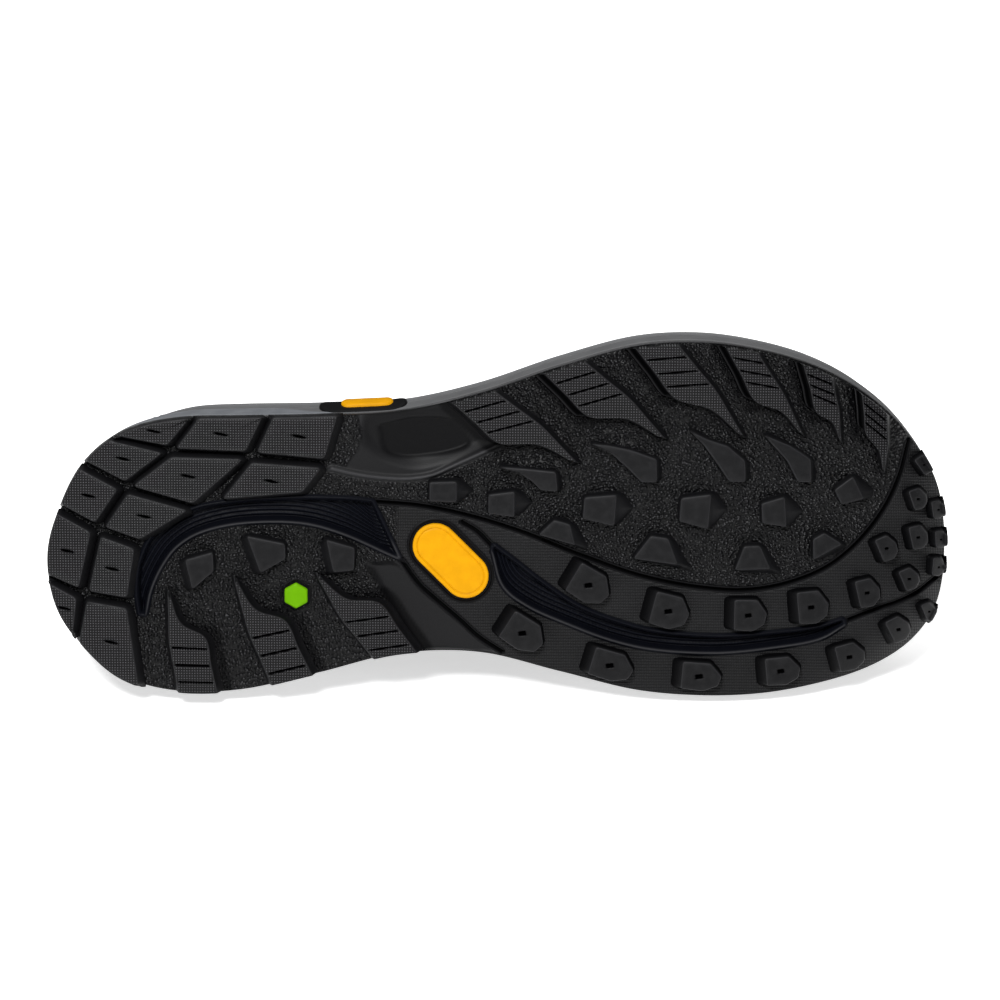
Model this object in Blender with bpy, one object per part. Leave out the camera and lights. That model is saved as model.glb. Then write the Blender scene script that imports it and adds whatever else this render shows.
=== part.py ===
"""Right trail shoe, shaped upright on its tread and then laid on its medial side.

All tables are in millimetres. Along runs from heel to toe, across from the
medial to the lateral side, height from the tread plane towards the foot.
"""
import math

import bmesh
import bpy
import numpy as np
from mathutils import Matrix, Vector
from mathutils.geometry import delaunay_2d_cdt

MM = 0.001

# Sole
SOLE_LENGTH = 302.0
LUG_HEIGHT = 4.0
LUG_DRAFT = 1.1
GROOVE_HALF = 1.9
SHEET_THICKNESS = 2.5
FIT_GAP = 0.3
ROLL_START = 217.0
TOE_SPRING = 13.0
TOE_WRAP = 8.0
TOE_WRAP_WIDTH = 13.0
TOE_WRAP_START = 252.0
TOE_WRAP_FULL = 292.0
HEEL_BEVEL = 6.0
HEEL_BEVEL_LENGTH = 34.0
ARCH_LIFT = 2.6
ARCH_START = 92.0
ARCH_END = 180.0
EDGE_MARGIN = 0.7
SOLE_WIDTH = 125.0
PLAN_PITCH = 13.0
PLAN_CLEAR = 3.0
DECK_CLEAR = 9.0
OUTLINE_POINTS = 112
NEAR_STEPS = 16
MITRE_LIMIT = 1.7
TINY = 1e-6

SOLE_COLUMNS = ("along", "medial", "lateral", "deck")
SOLE_SECTIONS = (
    (0.0, 46.0, 46.0, 36.0),
    (3.4, 28.6, 61.6, 36.0),
    (10.1, 18.4, 76.0, 35.9),
    (23.6, 5.9, 88.5, 35.6),
    (43.9, 0.3, 94.0, 35.0),
    (64.1, 1.0, 94.7, 34.3),
    (91.1, 7.2, 95.4, 33.2),
    (118.1, 14.1, 97.1, 31.8),
    (145.1, 14.8, 103.6, 30.0),
    (172.1, 8.3, 112.9, 28.2),
    (199.1, 1.7, 120.2, 27.0),
    (219.0, 0.0, 121.2, 26.9),
    (239.5, 0.7, 118.4, 27.8),
    (260.0, 4.5, 112.0, 29.9),
    (280.0, 11.7, 99.5, 33.2),
    (293.5, 22.0, 83.7, 36.2),
    (300.3, 34.8, 68.2, 37.8),
    (302.0, 50.0, 50.0, 38.2),
)

# Side wall of the midsole, from the rubber sheet up to the deck: share of the rise, outward
WALL_PROFILE = (
    (0.00, 0.0),
    (0.10, 0.7),
    (0.40, 0.8),
    (0.45, -0.2),
    (0.66, 0.1),
    (0.70, 0.7),
    (0.84, 0.4),
    (0.94, -2.2),
    (1.00, -6.4),
)

# Windows in the rubber sheet that show the midsole, a row for each rung
WINDOW_COLUMNS = ("lateral_along", "lateral_across", "medial_along", "medial_across")
HEEL_WINDOW = (
    (30.4, 27.6, 31.6, 27.4),
    (29.6, 36.0, 33.6, 36.0),
    (31.0, 46.0, 37.6, 44.6),
    (36.6, 56.0, 43.0, 51.4),
    (48.0, 63.0, 51.6, 56.4),
    (64.0, 66.0, 65.4, 59.4),
    (84.0, 67.2, 84.0, 59.6),
    (100.0, 67.0, 99.0, 55.8),
    (108.6, 66.2, 117.4, 47.6),
)
FORE_WINDOW = (
    (150.0, 51.0, 149.8, 49.6),
    (157.6, 45.2, 153.4, 38.0),
    (166.0, 38.6, 162.0, 31.0),
    (178.0, 30.6, 175.0, 25.2),
    (192.0, 25.0, 190.0, 19.6),
    (206.0, 21.6, 205.0, 16.4),
    (226.0, 20.2, 226.0, 15.4),
    (246.0, 21.6, 246.5, 17.6),
    (263.2, 24.4, 263.8, 21.4),
)
WINDOW_STEPS = 17

# Heel blocks: where the grooves cross (name, along, across), and which crossings bound each block
HEEL_CROSSINGS = (
    ("edge_a", 21.3, 87.6),
    ("edge_b", 50.3, 96.4),
    ("edge_c", 74.9, 97.0),
    ("edge_d", 99.9, 97.8),
    ("one_a", 40.8, 83.8),
    ("one_b", 67.5, 82.1),
    ("one_c", 94.1, 79.7),
    ("two_edge", 11.0, 79.4),
    ("two_a", 26.0, 71.4),
    ("two_window", 47.6, 65.4),
    ("two_front", 56.6, 66.6),
    ("three_window", 86.4, 68.4),
    ("three_edge", 2.6, 65.0),
    ("three_a", 16.2, 56.9),
    ("three_mid", 30.8, 51.6),
    ("four_edge", -0.8, 40.4),
    ("four_a", 11.1, 34.2),
    ("four_mid", 27.6, 31.4),
    ("back_edge", 9.0, 17.6),
    ("back_low", 26.4, 3.0),
    ("back_mid", 31.6, 4.0),
)
HEEL_BLOCKS = (
    ("edge_a", "one_a", "edge_b"),
    ("edge_b", "one_a", "one_b", "edge_c"),
    ("edge_c", "one_b", "one_c", "edge_d"),
    ("edge_a", "two_edge", "two_a", "one_a"),
    ("one_a", "two_a", "two_window", "one_b"),
    ("one_b", "two_front", "three_window", "one_c"),
    ("two_edge", "three_edge", "three_a", "two_a"),
    ("two_a", "three_a", "three_mid", "two_window"),
    ("three_edge", "four_edge", "four_a", "three_a"),
    ("three_a", "four_a", "four_mid", "three_mid"),
    ("four_edge", "back_edge", "four_a"),
    ("four_a", "back_edge", "back_low", "back_mid", "four_mid"),
)

# Hooked lugs from an edge of the sole: side, root from, root to, tip along, across, knee along, across
FANGS = (
    ("lateral", 135.6, 149.8, 178.1, 80.4, 150.8, 87.6),
    ("lateral", 166.3, 179.8, 207.5, 88.7, 180.8, 96.9),
    ("lateral", 196.7, 210.9, 233.8, 89.4, 209.9, 103.2),
    ("lateral", 226.7, 237.4, 253.7, 90.0, 237.2, 102.1),
    ("lateral", 252.7, 262.4, 266.2, 88.0, 257.8, 98.3),
    ("lateral", 272.6, 281.4, 280.7, 77.6, 274.3, 91.4),
    ("medial", 43.2, 56.4, 39.8, 35.5, 52.3, 19.7),
    ("medial", 74.9, 88.7, 62.1, 40.4, 79.3, 25.9),
    ("medial", 109.7, 124.2, 90.0, 41.6, 111.3, 32.1),
)
FANG_BACK_BOW = 0.12
FANG_HOOK = 0.3
FANG_BLUNT = 0.06

# Crescent lugs: tail along and across, nose along and across, nose width
CRESCENTS = (
    (151.5, 78.4, 171.2, 74.4, 5.5),
    (183.0, 86.0, 204.3, 78.1, 8.0),
    (215.6, 91.2, 233.8, 79.0, 7.0),
    (241.2, 89.0, 255.1, 79.3, 7.4),
)
CRESCENT_SHAPE = ((0.0, 0.0), (0.34, 0.14), (0.98, 0.5), (1.04, -0.5), (0.86, -0.66), (0.5, -0.3))

# Wedge lugs: along, across, length, width at the heel end, width at the toe end, turn
WEDGES = (
    (51.0, 43.8, 8.6, 9.6, 6.4, 12.0),
    (73.8, 49.5, 10.6, 12.2, 7.2, 14.0),
    (98.2, 48.2, 8.0, 9.0, 7.0, 8.0),
    (132.7, 70.6, 9.0, 6.4, 7.0, 0.0),
    (152.3, 66.5, 8.6, 6.4, 8.6, 0.0),
    (185.3, 65.0, 10.6, 6.8, 10.0, -4.0),
    (217.4, 64.7, 9.8, 7.6, 11.6, -4.0),
    (243.9, 64.2, 7.8, 6.6, 10.0, 4.0),
    (268.8, 71.3, 7.4, 5.4, 8.2, 26.0),
    (171.9, 57.4, 6.2, 5.4, 12.6, -106.0),
    (205.0, 51.3, 8.4, 5.8, 15.0, -98.0),
    (237.0, 48.6, 8.0, 5.2, 11.8, -88.0),
    (260.8, 53.5, 6.2, 4.2, 10.8, -60.0),
)

# Studs with a square heel end and a blunt nose: along, across, length, width, turn
STUDS = (
    (182.6, 38.2, 13.6, 11.4, -30.0),
    (209.8, 29.6, 12.6, 11.6, -14.0),
    (236.8, 28.6, 11.0, 10.8, 0.0),
    (258.0, 31.6, 10.4, 11.2, 6.0),
    (276.6, 36.8, 7.6, 9.6, 14.0),
    (290.6, 41.8, 5.8, 7.4, 24.0),
    (282.7, 52.3, 6.2, 8.4, 24.0),
    (292.8, 69.3, 5.2, 7.0, 20.0),
    (293.2, 56.1, 5.8, 8.0, 14.0),
    (160.4, 21.4, 14.0, 11.0, -32.0),
    (190.3, 10.6, 14.4, 10.0, -16.0),
    (220.6, 7.2, 13.4, 9.6, -4.0),
    (248.2, 9.4, 11.6, 9.6, 6.0),
    (271.2, 14.6, 9.4, 9.2, 16.0),
    (287.4, 24.4, 7.0, 8.4, 28.0),
)
STUD_SHAPE = ((-0.5, -0.46), (0.06, -0.5), (0.42, -0.28), (0.5, 0.06), (0.2, 0.5), (-0.5, 0.5))

# Small pieces set in the sole
INLAY_CENTRE = (135.3, 46.2)
INLAY_LENGTH = 30.0
INLAY_WIDTH = 15.4
INLAY_TURN = -45.0
INLAY_PROUD = 0.8
INLAY_BEVEL = 0.8
INLAY_ARC_STEPS = 8
PLUG_CENTRE = (83.0, 33.8)
PLUG_RADIUS = 4.5
PLUG_SIDES = 6
PLUG_TURN = 30.0
TAB_ALONG = 107.0
TAB_LENGTH = 18.0
TAB_WIDTH = 4.6
TAB_THICKNESS = 1.4
TAB_SLANT = 0.7
TAB_RISE = 0.24

# Upper: one row for each station of the foot, the same on both sides
UPPER_COLUMNS = ("foot", "inset", "top_along", "top_half", "top_height",
                 "low_out", "low_up", "high_out", "high_down")
UPPER_SECTIONS = (
    (0.0, 9.5, 13.0, 0.0, 107.0, 7.0, 24.0, 5.0, 18.0),
    (4.0, 9.5, 14.4, 10.5, 106.8, 7.0, 24.0, 4.5, 18.0),
    (14.0, 9.5, 20.5, 21.5, 104.0, 6.0, 24.0, 4.0, 18.0),
    (32.0, 9.5, 36.0, 31.0, 95.5, 5.0, 23.0, 3.0, 17.0),
    (58.0, 9.5, 60.0, 35.5, 88.5, 4.0, 22.0, 1.0, 17.0),
    (88.0, 9.0, 86.0, 33.0, 93.0, 3.0, 22.0, 4.0, 18.0),
    (118.0, 8.5, 107.0, 26.0, 104.0, 3.0, 22.0, 11.0, 20.0),
    (148.0, 8.0, 127.0, 21.5, 100.0, 3.0, 22.0, 19.0, 17.0),
    (178.0, 8.0, 147.0, 18.5, 91.5, 3.0, 22.0, 25.0, 12.0),
    (208.0, 8.0, 166.0, 16.5, 84.0, 3.0, 22.0, 28.0, 8.0),
    (238.0, 8.0, 181.0, 14.0, 79.0, 3.0, 22.0, 30.0, 6.0),
    (265.0, 8.0, 190.0, 10.5, 76.0, 3.0, 21.0, 33.0, 5.0),
    (285.0, 8.0, 195.0, 6.0, 74.6, 3.0, 20.0, 38.0, 4.5),
    (298.0, 8.5, 196.6, 2.0, 74.1, 3.0, 20.0, 44.0, 4.5),
    (302.0, 8.5, 197.0, 0.0, 74.0, 3.0, 20.0, 46.0, 4.5),
)
UPPER_AROUND = 84
UPPER_FINE_STEPS = 1440
UPPER_LEVELS = (0.0, 0.1, 0.2, 0.29, 0.32, 0.43, 0.56, 0.59, 0.7, 0.8, 0.86, 0.885, 0.95, 1.0)
WALL_THICKNESS = 2.2
COLLAR_PAD = 3.6
COLLAR_END = 112.0
COLLAR_FADE = 30.0
COLLAR_PAD_LEVEL = 0.62
COLLAR_SWELL = 0.8
EDGE_ROUND = 0.7
OVERLAY_STEP = 0.8
TOE_CAP_FROM = 246.0
TOE_CAP_LEVEL = 0.3
COUNTER_TO = 78.0
COUNTER_LEVEL = 0.57
EYESTAY_FROM = 112.0
EYESTAY_LEVEL = 0.87

# Insole, tongue and lace
INSOLE_THICKNESS = 4.0
INSOLE_CLEAR = 3.4
INSOLE_INNER = 24.0
TONGUE_STATIONS = (292.0, 262.0, 236.0, 208.0, 178.0, 148.0, 122.0)
TONGUE_LEVELS = (0.8, 0.87, 0.94, 1.0)
TONGUE_ACROSS = 3
TONGUE_DEPTH = 0.7
TONGUE_THICKNESS = 3.6
TONGUE_CROWN = 1.2
TONGUE_FREE_STEPS = 3
TONGUE_FREE_BACK = 20.0
TONGUE_FREE_UP = 17.0
TONGUE_FREE_NARROW = 0.26
EYELET_STATIONS = (126.0, 146.0, 168.0, 192.0, 216.0, 240.0)
EYELET_LEVEL = 0.93
LACE_RADIUS = 1.5
LACE_SIDES = 8
LACE_LIFT = 0.8
LACE_CROWN = 1.5
LACE_STEPS = 4
LACE_EDGE_SHARE = 0.2

# How the shoe lies: roll onto the medial side, then a small turn
LYING_ROLL = 102.0
LYING_TURN = 0.4

MATERIALS = {
    "black_rubber": ((0.012, 0.012, 0.013), 0.62),
    "grey_foam": ((0.085, 0.088, 0.095), 0.7),
    "knit_fabric": ((0.018, 0.019, 0.022), 0.85),
    "padded_fabric": ((0.022, 0.023, 0.026), 0.88),
    "liner_fabric": ((0.06, 0.062, 0.068), 0.9),
    "lace_cord": ((0.02, 0.02, 0.022), 0.8),
    "amber_rubber": ((0.86, 0.42, 0.015), 0.5),
    "green_rubber": ((0.2, 0.52, 0.03), 0.5),
}


def clear_file():
    """Removes what the start-up file holds."""
    for item in list(bpy.data.objects):
        bpy.data.objects.remove(item, do_unlink=True)


def column(rows, names, name):
    """One named column of a table as an array."""
    place = names.index(name)
    return np.array([row[place] for row in rows], dtype=float)


def curve_through(knots, values, at):
    """Smooth curve through (knot, value) pairs, read at the given places."""
    knots = np.asarray(knots, dtype=float)
    values = np.asarray(values, dtype=float)
    at = np.clip(np.asarray(at, dtype=float), knots[0], knots[-1])
    slopes = np.gradient(values, knots)
    cell = np.clip(np.searchsorted(knots, at, side="right") - 1, 0, len(knots) - 2)
    width = knots[cell + 1] - knots[cell]
    share = (at - knots[cell]) / width
    start = (1.0 + 2.0 * share) * (1.0 - share) ** 2
    leave = share * (1.0 - share) ** 2
    end = share ** 2 * (3.0 - 2.0 * share)
    arrive = share ** 2 * (share - 1.0)
    held = start * values[cell] + end * values[cell + 1]
    return held + width * (leave * slopes[cell] + arrive * slopes[cell + 1])


def turn_of(along):
    """Angle that stands for a place along the sole, so that the ends close round."""
    return np.arccos(np.clip(1.0 - 2.0 * np.asarray(along, dtype=float) / SOLE_LENGTH, -1.0, 1.0))


def along_of(turn):
    return 0.5 * SOLE_LENGTH * (1.0 - np.cos(turn))


def deck_height(along):
    """Height of the midsole's top over the tread plane."""
    stations = column(SOLE_SECTIONS, SOLE_COLUMNS, "along")
    return curve_through(stations, column(SOLE_SECTIONS, SOLE_COLUMNS, "deck"), along)


def side_edge(turn, side):
    stations = turn_of(column(SOLE_SECTIONS, SOLE_COLUMNS, "along"))
    return curve_through(stations, column(SOLE_SECTIONS, SOLE_COLUMNS, side), turn)


def sole_edge(round_angle):
    """Plan point of the sole's edge: heel, lateral side, toe, medial side."""
    angle = np.mod(round_angle, 2.0 * math.pi)
    turn = np.where(angle <= math.pi, angle, 2.0 * math.pi - angle)
    across = np.where(angle <= math.pi, side_edge(turn, "lateral"), side_edge(turn, "medial"))
    return np.stack([along_of(turn), across], axis=-1)


def edge_normal(round_angle):
    """Unit normal of the sole's edge in plan, pointing out."""
    small = 0.02
    tangent = sole_edge(round_angle + small) - sole_edge(round_angle - small)
    normal = np.stack([-tangent[..., 1], tangent[..., 0]], axis=-1)
    return normal / np.linalg.norm(normal, axis=-1, keepdims=True)


OUTLINE_ANGLES = np.linspace(0.0, 2.0 * math.pi, OUTLINE_POINTS, endpoint=False)
OUTLINE = sole_edge(OUTLINE_ANGLES)


def edge_distance(points, loop):
    """Distance from each plan point to a closed loop, and the nearest point on it."""
    start = loop[None, :, :]
    run = np.roll(loop, -1, axis=0)[None, :, :] - start
    offset = points[:, None, :] - start
    share = np.clip((offset * run).sum(-1) / (run * run).sum(-1), 0.0, 1.0)
    near = start + share[..., None] * run
    gaps = np.linalg.norm(points[:, None, :] - near, axis=-1)
    best = gaps.argmin(axis=1)
    rows = np.arange(len(points))
    return gaps[rows, best], near[rows, best]


def inside_loop(points, loop):
    """True where a plan point lies within a closed loop."""
    end = np.roll(loop, -1, axis=0)
    level = points[:, 1][:, None]
    crosses = (loop[None, :, 1] > level) != (end[None, :, 1] > level)
    rise = np.where(end[:, 1] == loop[:, 1], 1.0, end[:, 1] - loop[:, 1])
    meet = loop[:, 0] + (level - loop[:, 1]) * (end[:, 0] - loop[:, 0]) / rise
    return (crosses & (points[:, 0][:, None] < meet)).sum(axis=1) % 2 == 1


def lift(points):
    """Rise of the tread over its flat plane: toe spring, toe wrap, heel bevel and arch."""
    along = points[:, 0]
    depth, _ = edge_distance(points, OUTLINE)
    spring = np.clip((along - ROLL_START) / (SOLE_LENGTH - ROLL_START), 0.0, 1.0) ** 2
    reach = np.clip((along - TOE_WRAP_START) / (TOE_WRAP_FULL - TOE_WRAP_START), 0.0, 1.0)
    wrap = reach * np.clip(1.0 - depth / TOE_WRAP_WIDTH, 0.0, 1.0) ** 2
    bevel = np.clip(1.0 - along / HEEL_BEVEL_LENGTH, 0.0, 1.0) ** 2
    arch = np.clip((along - ARCH_START) / (ARCH_END - ARCH_START), 0.0, 1.0)
    arch = np.sin(math.pi * arch) ** 2
    return TOE_SPRING * spring + TOE_WRAP * wrap + HEEL_BEVEL * bevel + ARCH_LIFT * arch


def facing_in(loop):
    """The loop in counter-clockwise order."""
    ahead = np.roll(loop, -1, axis=0)
    area = (loop[:, 0] * ahead[:, 1] - ahead[:, 0] * loop[:, 1]).sum()
    return loop if area > 0.0 else loop[::-1]


def grown(loop, amount):
    """A counter-clockwise loop with every side moved out by the amount."""
    before = loop - np.roll(loop, 1, axis=0)
    after = np.roll(loop, -1, axis=0) - loop
    normal_a = np.stack([before[:, 1], -before[:, 0]], axis=1)
    normal_b = np.stack([after[:, 1], -after[:, 0]], axis=1)
    normal_a /= np.linalg.norm(normal_a, axis=1, keepdims=True)
    normal_b /= np.linalg.norm(normal_b, axis=1, keepdims=True)
    middle = normal_a + normal_b
    square = np.maximum((middle * middle).sum(axis=1, keepdims=True), 4.0 / MITRE_LIMIT ** 2)
    return loop + 2.0 * amount * middle / square


def held_inside(loop, margin):
    """The loop with every corner kept at least the margin inside the sole's edge."""
    gap, near = edge_distance(loop, OUTLINE)
    within = inside_loop(loop, OUTLINE)
    angles = np.linspace(0.0, 2.0 * math.pi, NEAR_STEPS * OUTLINE_POINTS, endpoint=False)
    fine = sole_edge(angles)
    nearest = np.linalg.norm(near[:, None, :] - fine[None, :, :], axis=-1).argmin(axis=1)
    pulled = near - margin * edge_normal(angles[nearest])
    free = within & (gap >= margin)
    return np.where(free[:, None], loop, pulled)


def placed(shape, along, across, turn):
    """A small plan shape turned and set down at a place on the sole."""
    angle = math.radians(turn)
    shape = np.asarray(shape, dtype=float)
    x = shape[:, 0] * math.cos(angle) - shape[:, 1] * math.sin(angle)
    y = shape[:, 0] * math.sin(angle) + shape[:, 1] * math.cos(angle)
    return np.stack([x + along, y + across], axis=1)


def heel_block_tops():
    """Blocks between the heel grooves, each drawn in by half a groove."""
    places = {name: (along, across) for name, along, across in HEEL_CROSSINGS}
    loops = []
    for corners in HEEL_BLOCKS:
        loop = facing_in(np.array([places[name] for name in corners]))
        loops.append(grown(loop, -GROOVE_HALF))
    return loops


def fang_tops():
    """Hooked lugs: a root on the edge, a straight flank and a tip that curls forward."""
    loops = []
    for side, root_from, root_to, tip_x, tip_y, knee_x, knee_y in FANGS:
        first, last = (np.array([place, side_edge(turn_of(place), side)]) for place in (root_from, root_to))
        tip = np.array([tip_x, tip_y])
        knee = np.array([knee_x, knee_y])
        if side == "medial":
            first, last = last, first
        back = 0.5 * (last + tip)
        back = back + FANG_BACK_BOW * (back - knee)
        middle = 0.5 * (knee + tip)
        hook = middle + FANG_HOOK * (back - middle)
        blunt = tip + FANG_BLUNT * (knee - tip)
        loops.append(facing_in(np.array([first, last, back, tip, blunt, hook, knee])))
    return loops


def crescent_tops():
    loops = []
    for tail_x, tail_y, nose_x, nose_y, width in CRESCENTS:
        axis = np.array([nose_x - tail_x, nose_y - tail_y])
        normal = np.array([-axis[1], axis[0]]) / np.linalg.norm(axis)
        start = np.array([tail_x, tail_y])
        loop = np.array([start + along * axis + share * width * normal for along, share in CRESCENT_SHAPE])
        loops.append(facing_in(loop))
    return loops


def wedge_tops():
    loops = []
    for along, across, length, heel, toe, turn in WEDGES:
        half = 0.5 * length
        shape = ((-half, -0.5 * heel), (half, -0.5 * toe), (half, 0.5 * toe), (-half, 0.5 * heel))
        loops.append(placed(shape, along, across, turn))
    return loops


def stud_tops():
    loops = []
    for along, across, length, width, turn in STUDS:
        shape = [(length * x, width * y) for x, y in STUD_SHAPE]
        loops.append(placed(shape, along, across, turn))
    return loops


def lug_loops():
    """Top and foot of every lug in plan."""
    tops = heel_block_tops() + fang_tops() + crescent_tops() + wedge_tops() + stud_tops()
    pairs = []
    for top in tops:
        foot = held_inside(grown(top, LUG_DRAFT), EDGE_MARGIN)
        top = held_inside(top, EDGE_MARGIN + 0.5 * LUG_DRAFT)
        pairs.append((top, foot))
    return pairs


def window_loop(rungs):
    """Closed edge of a window: its lateral side forward, its medial side back."""
    knots = np.arange(len(rungs))
    steps = np.linspace(0.0, len(rungs) - 1.0, WINDOW_STEPS)
    sides = []
    for side in ("lateral", "medial"):
        along = curve_through(knots, column(rungs, WINDOW_COLUMNS, side + "_along"), steps)
        across = curve_through(knots, column(rungs, WINDOW_COLUMNS, side + "_across"), steps)
        sides.append(np.stack([along, across], axis=1))
    return facing_in(np.concatenate([sides[0], sides[1][::-1]]))


def capsule_loop(growth):
    """Plan of the waist inlay, with both ends round."""
    radius = 0.5 * INLAY_WIDTH + growth
    reach = 0.5 * (INLAY_LENGTH - INLAY_WIDTH)
    shape = []
    for sign in (1.0, -1.0):
        for angle in np.linspace(-0.5 * math.pi, 0.5 * math.pi, INLAY_ARC_STEPS):
            shape.append((sign * (reach + radius * math.cos(angle)), sign * radius * math.sin(angle)))
    return placed(shape, *INLAY_CENTRE, INLAY_TURN)


def plug_loop(growth):
    angles = [2.0 * math.pi * side / PLUG_SIDES for side in range(PLUG_SIDES)]
    radius = PLUG_RADIUS + growth
    return placed([(radius * math.cos(a), radius * math.sin(a)) for a in angles], *PLUG_CENTRE, PLUG_TURN)


def loose_points(loops, margin):
    """Grid of plan points inside the sole and clear of the given loops."""
    along = np.arange(0.5 * PLAN_PITCH, SOLE_LENGTH, PLAN_PITCH)
    across = np.arange(0.0, SOLE_WIDTH, PLAN_PITCH)
    points = np.stack(np.meshgrid(along, across), axis=-1).reshape(-1, 2)
    keep = inside_loop(points, OUTLINE) & (edge_distance(points, OUTLINE)[0] > margin)
    for loop in loops:
        keep &= ~inside_loop(points, loop) & (edge_distance(points, loop)[0] > margin)
    return points[keep]


def plan_mesh(outline, loops, loose):
    """Triangles over a plan outline that keep every loop, and the loops' own points."""
    sizes = [len(outline)] + [len(loop) for loop in loops]
    points = np.concatenate([outline] + loops + [loose])
    edges = []
    start = 0
    for size in sizes:
        edges += [(start + step, start + (step + 1) % size) for step in range(size)]
        start += size
    corners = [Vector((float(x), float(y))) for x, y in points]
    result = delaunay_2d_cdt(corners, edges, [list(range(len(outline)))], 1, TINY)
    where = {source: place for place, sources in enumerate(result[3]) for source in sources}
    order = []
    start = 0
    for size in sizes:
        order.append([where[start + step] for step in range(size)])
        start += size
    plan = np.array([tuple(corner) for corner in result[0]])
    return plan, np.array([tuple(face) for face in result[2]]), order


class Shell:
    """Points (along, across, height) and faces of one solid."""

    def __init__(self):
        self.points = []
        self.faces = []

    def add_points(self, plan, height):
        first = len(self.points)
        for (along, across), level in zip(plan, np.broadcast_to(height, len(plan))):
            self.points.append((along, across, level))
        return list(range(first, first + len(plan)))

    def add_spots(self, spots):
        first = len(self.points)
        self.points += [tuple(spot) for spot in spots]
        return list(range(first, first + len(spots)))

    def add_faces(self, faces, numbers):
        self.faces += [tuple(numbers[corner] for corner in face) for face in faces]

    def band(self, lower, upper):
        size = len(lower)
        for step in range(size):
            ahead = (step + 1) % size
            self.faces.append((lower[step], lower[ahead], upper[ahead], upper[step]))

    def cap(self, ring):
        self.faces.append(tuple(ring))


def make_material(name):
    colour, roughness = MATERIALS[name]
    material = bpy.data.materials.new(name)
    material.use_nodes = True
    shader = material.node_tree.nodes["Principled BSDF"]
    shader.inputs["Base Color"].default_value = (*colour, 1.0)
    shader.inputs["Roughness"].default_value = roughness
    return material


def add_solid(name, shell, material, carrier):
    """Turns a shell into an object that lies with the shoe."""
    mesh = bpy.data.meshes.new(name)
    spots = [(along * MM, -across * MM, height * MM) for along, across, height in shell.points]
    mesh.from_pydata(spots, [], shell.faces)
    tidy = bmesh.new()
    tidy.from_mesh(mesh)
    loose = [vertex for vertex in tidy.verts if not vertex.link_faces]
    bmesh.ops.delete(tidy, geom=loose, context="VERTS")
    bmesh.ops.recalc_face_normals(tidy, faces=tidy.faces)
    tidy.to_mesh(mesh)
    tidy.free()
    mesh.materials.append(make_material(material))
    solid = bpy.data.objects.new(name, mesh)
    bpy.context.collection.objects.link(solid)
    solid.parent = carrier
    return solid


def sheet_top(plan):
    return lift(plan) + LUG_HEIGHT + SHEET_THICKNESS


WINDOWS = [window_loop(HEEL_WINDOW), window_loop(FORE_WINDOW)]
SEATS = [capsule_loop(FIT_GAP), plug_loop(FIT_GAP)]


def make_outsole(carrier):
    """Rubber sheet with lugs, two windows and the seats of the inlay and the plug."""
    pairs = lug_loops()
    holes = WINDOWS + SEATS
    feet = [foot for _, foot in pairs]
    shell = Shell()

    plan, faces, order = plan_mesh(OUTLINE, feet + holes, loose_points(feet + holes, PLAN_CLEAR))
    floor = shell.add_points(plan, lift(plan) + LUG_HEIGHT)
    middle = plan[faces].mean(axis=1)
    open_floor = np.ones(len(faces), dtype=bool)
    for loop in feet + holes:
        open_floor &= ~inside_loop(middle, loop)
    shell.add_faces(faces[open_floor], floor)

    for (top, _), foot_order in zip(pairs, order[1:]):
        crown = shell.add_points(top, lift(top))
        shell.band([floor[place] for place in foot_order], crown)
        shell.cap(crown)

    roof_plan, roof_faces, roof_order = plan_mesh(OUTLINE, holes, loose_points(holes, PLAN_CLEAR))
    roof = shell.add_points(roof_plan, sheet_top(roof_plan))
    middle = roof_plan[roof_faces].mean(axis=1)
    open_roof = np.ones(len(roof_faces), dtype=bool)
    for loop in holes:
        open_roof &= ~inside_loop(middle, loop)
    shell.add_faces(roof_faces[open_roof], roof)

    floor_loops = [order[0]] + order[1 + len(feet):]
    for low, high in zip(floor_loops, roof_order):
        shell.band([floor[place] for place in low], [roof[place] for place in high])
    return add_solid("outsole", shell, "black_rubber", carrier)


def wall_ring(rise, outward):
    """One level of the midsole's side wall."""
    plan = OUTLINE + outward * edge_normal(OUTLINE_ANGLES)
    low = sheet_top(OUTLINE) + FIT_GAP
    return plan, low + rise * (deck_height(plan[:, 0]) - low)


def make_midsole(carrier):
    """Foam from the rubber sheet up to the deck, with a stepped side wall."""
    shell = Shell()
    plan, faces, order = plan_mesh(OUTLINE, WINDOWS + SEATS, loose_points(WINDOWS + SEATS, PLAN_CLEAR))
    base = shell.add_points(plan, sheet_top(plan) + FIT_GAP)
    shell.add_faces(faces, base)
    ring = [base[place] for place in order[0]]
    for rise, outward in WALL_PROFILE[1:-1]:
        ring_plan, height = wall_ring(rise, outward)
        ahead = shell.add_points(ring_plan, height)
        shell.band(ring, ahead)
        ring = ahead
    rim, height = wall_ring(*WALL_PROFILE[-1])
    inner = loose_points([], DECK_CLEAR)
    deck_plan, deck_faces, deck_order = plan_mesh(rim, [], inner)
    deck = shell.add_points(deck_plan, deck_height(deck_plan[:, 0]))
    shell.band(ring, [deck[place] for place in deck_order[0]])
    shell.add_faces(deck_faces, deck)
    return add_solid("midsole", shell, "grey_foam", carrier)


def upper_value(round_angle, name):
    """A column of the upper's table at a place round the foot."""
    angle = np.mod(round_angle, 2.0 * math.pi)
    turn = np.where(angle <= math.pi, angle, 2.0 * math.pi - angle)
    stations = turn_of(column(UPPER_SECTIONS, UPPER_COLUMNS, "foot"))
    return curve_through(stations, column(UPPER_SECTIONS, UPPER_COLUMNS, name), turn)


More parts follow.
